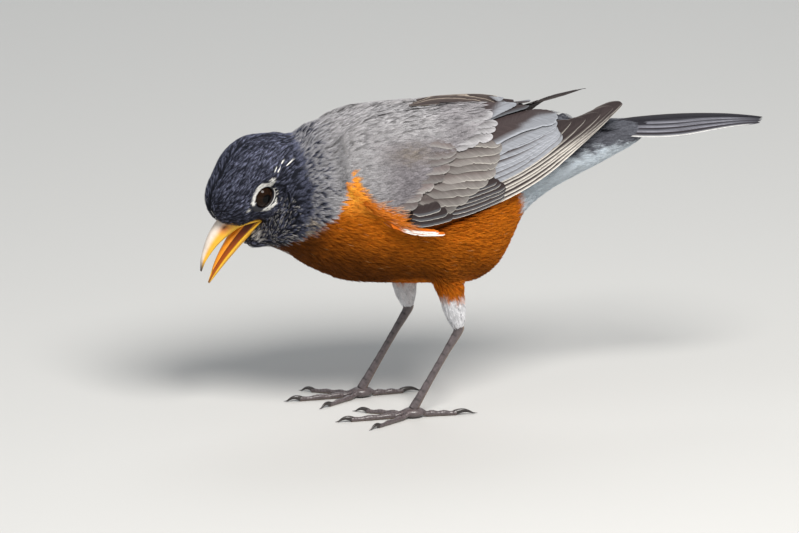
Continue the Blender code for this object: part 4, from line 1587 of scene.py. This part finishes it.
HEELS = {"left": (11.4, -16, 33.8), "right": (-0.4, 17, 35)}
FEET = {"left": (-7.5, -17.5), "right": (-19.5, 17)}
KNEES = {"left": (6, -16, 62), "right": (-4, 16, 60)}
ANKLE_HEIGHT = 3.4
TARSUS = (1.5, 1.9, 2.15, 1.75, 1.42, 1.38, 1.42, 1.6, 1.9)  # radii from inside the shank down to the foot
PAD = (4.8, 3.4, 2.1)  # half its length, breadth and height
PAD_RINGS, PAD_SIDES = 16, 24
# Each toe's heading from straight ahead in degrees, its length, radius and claw's length.
TOES = {"1": (176, 12, 1.25, 8.5), "2": (-34, 14, 1.1, 6), "3": (0, 20, 1.2, 6.5), "4": (34, 15.5, 1.05, 5.5)}
TOE_START, TOE_INSIDE = 5.4, 2.6  # from the foot's middle to where a toe leaves it, and to its end inside
TARSUS_ROWS, TARSUS_SIDES, TARSUS_SCUTES = 120, 28, 13
TOE_ROWS, TOE_SIDES = 90, 20
TOE_RAISED = 20  # rows at a toe's root that rise into the foot
CLAW_ROWS, CLAW_SIDES = 30, 14
CLAW_SUNK = 0.8  # how far a claw's root lies inside its toe


def scaled_tube(points, radii, sides, scutes, up, squash=1.0):
    """A limb with overlapping scales on its front and fine skin behind."""
    saw = (np.linspace(0, 1, len(points))[:, None] * scutes) % 1.0
    facing = np.sin(np.linspace(0, 2 * math.pi, sides, endpoint=False))
    front = step(facing, -0.2, 0.5)
    relief = 0.075 * (1 - saw) ** 0.6 - 0.05 * np.exp(-((saw - 0.02) / 0.05) ** 2)
    rings = round_rings(points, radii[:, None] * (1 + front * relief), sides, squash, up)
    gap = np.exp(-((np.minimum(saw, 1 - saw) / 0.09) ** 2)) * front
    scutes = blend(colour("scute"), colour("scute_gap"), 0.85 * gap)
    return tube(rings, blend(scutes, colour("sole"), 0.5 * step(-facing, 0.3, 0.8)))


def joined_mesh(name, parts):
    points, faces = joined([part[:2] for part in parts])
    tints = [np.broadcast_to(tint, places.shape) for places, _, tint in parts]
    return make(name, points, faces, np.vstack(tints))


def toe_and_claw(foot, heading, length, radius, claw):
    """A toe that bulges over its pads, and the bent claw at its end."""
    ahead = np.array((-math.cos(heading), -math.sin(heading), 0))
    share = np.linspace(0, 1, TOE_ROWS)
    size = radius * (1 - 0.22 * share) * (1 + 0.10 * np.cos(share * 6 * math.pi))
    arch = 0.27 * np.sin(math.pi * share) ** 2 * (1 - share)
    reach = TOE_INSIDE + (TOE_START + length - TOE_INSIDE) * share
    line = np.array((*foot, 0)) + ahead * reach[:, None]
    line[:, 2] += size * 0.96 + arch
    line[:TOE_RAISED, 2] += 1.2 * (1 - share[:TOE_RAISED] / share[TOE_RAISED - 1])
    toe = scaled_tube(line, size, TOE_SIDES, 2 + int(length * 0.8), (0, 0, 1.0), 0.94)
    share = np.linspace(0, 1, CLAW_ROWS)
    curve = line[-1] - ahead * CLAW_SUNK + ahead * ((claw + CLAW_SUNK) * share)[:, None]
    curve[:, 2] += 0.95 * np.sin(math.pi * np.minimum(1, share * 1.25)) - 0.55 * share
    thin = np.maximum(0.07, radius * 0.78 * (1 - share**1.4))
    curve[:, 2] = np.maximum(curve[:, 2], thin + 0.03)
    return toe, tube(round_rings(curve, thin[:, None], CLAW_SIDES, 1.15), colour("claw"))


for side, sign in SIDES.items():
    finish_piece(make("lid_" + side, *lid(side)), FINISHES["lid"])

    heel, foot, knee = np.array(HEELS[side]), np.array((*FEET[side], ANKLE_HEIGHT)), np.array(KNEES[side])
    line = [heel + (knee - heel) * share for share in (0.35, 0.1, 0)]
    line += [heel + (foot - heel) * share for share in (0.25, 0.5, 0.75, 1)]
    share = np.linspace(0, 1, TARSUS_ROWS)
    radii = np.interp(share, np.linspace(0, 1, len(TARSUS)), TARSUS)
    line = smooth_through(line, share)
    points, faces, *_ = ball(np.array((*FEET[side], PAD[2])), PAD, PAD_RINGS, PAD_SIDES)
    tarsus = scaled_tube(line, radii, TARSUS_SIDES, TARSUS_SCUTES, (-1.0, 0, 0))
    parts, claws = [tarsus, (points, faces, colour("scute"))], []
    for heading, length, radius, claw in TOES.values():
        pair = toe_and_claw(FEET[side], math.radians(heading * sign), length, radius, claw)
        parts.append(pair[0])
        claws.append(pair[1])
    bones = [f"tarsus_{side}"] + [f"toe_{side}_{toe}" for toe in TOES]
    finish_piece(joined_mesh(f"leg_scales_{side}", parts), FINISHES["scales"], bones)
    bones = [f"claw_{side}_{toe}" for toe in TOES]
    finish_piece(joined_mesh(f"claws_{side}", claws), FINISHES["claw"], bones)


# Camera, lights and floor.


def direction(azimuth, elevation):
    """From the bird towards a place round it."""
    a, e = math.radians(azimuth), math.radians(elevation)
    return np.array((math.sin(a) * math.cos(e), -math.cos(a) * math.cos(e), math.sin(e)))


def look_from(obj, azimuth, elevation, distance):
    """Puts a camera or a lamp round the bird, turned to CAMERA_AIM."""
    place = np.array(CAMERA_AIM) + direction(azimuth, elevation) * distance
    obj.location = metres(place)
    way = Vector(metres(CAMERA_AIM) - metres(place))
    obj.rotation_euler = way.to_track_quat("-Z", "Y").to_euler()


camera = bpy.data.objects.new("camera", bpy.data.cameras.new("camera"))
bpy.context.scene.collection.objects.link(camera)
camera.data.lens, camera.data.sensor_width = CAMERA_LENS, 36
camera.data.clip_start, camera.data.clip_end = 0.1, 100
look_from(camera, CAMERA_AZIMUTH, CAMERA_ELEVATION, CAMERA_DISTANCE)
bpy.context.scene.camera = camera

for name, (azimuth, elevation, distance, size, power, tone) in LIGHTS.items():
    lamp = bpy.data.lights.new(name, "AREA")
    lamp.shape, lamp.size, lamp.energy, lamp.color = "DISK", size * MM, power, tone
    obj = bpy.data.objects.new(name, lamp)
    bpy.context.scene.collection.objects.link(obj)
    look_from(obj, azimuth, elevation, distance)

world = bpy.data.worlds.new("room")
bpy.context.scene.world = world
world.use_nodes = True
background = world.node_tree.nodes["Background"]
background.inputs["Color"].default_value = ROOM_COLOUR
background.inputs["Strength"].default_value = ROOM_STRENGTH

corners = np.array([(-1, -1, 0), (1, -1, 0), (1, 1, 0), (-1, 1, 0)])
ground = make("floor", corners * FLOOR_HALF, [(0, 1, 2, 3)])
plain = bpy.data.materials.new("floor")
plain.use_nodes = True
shader = plain.node_tree.nodes["Principled BSDF"]
shader.inputs["Base Color"].default_value = FLOOR_COLOUR
shader.inputs["Roughness"].default_value = FLOOR_ROUGHNESS
ground.data.materials.append(plain)

bpy.context.scene.view_settings.view_transform = "Standard"
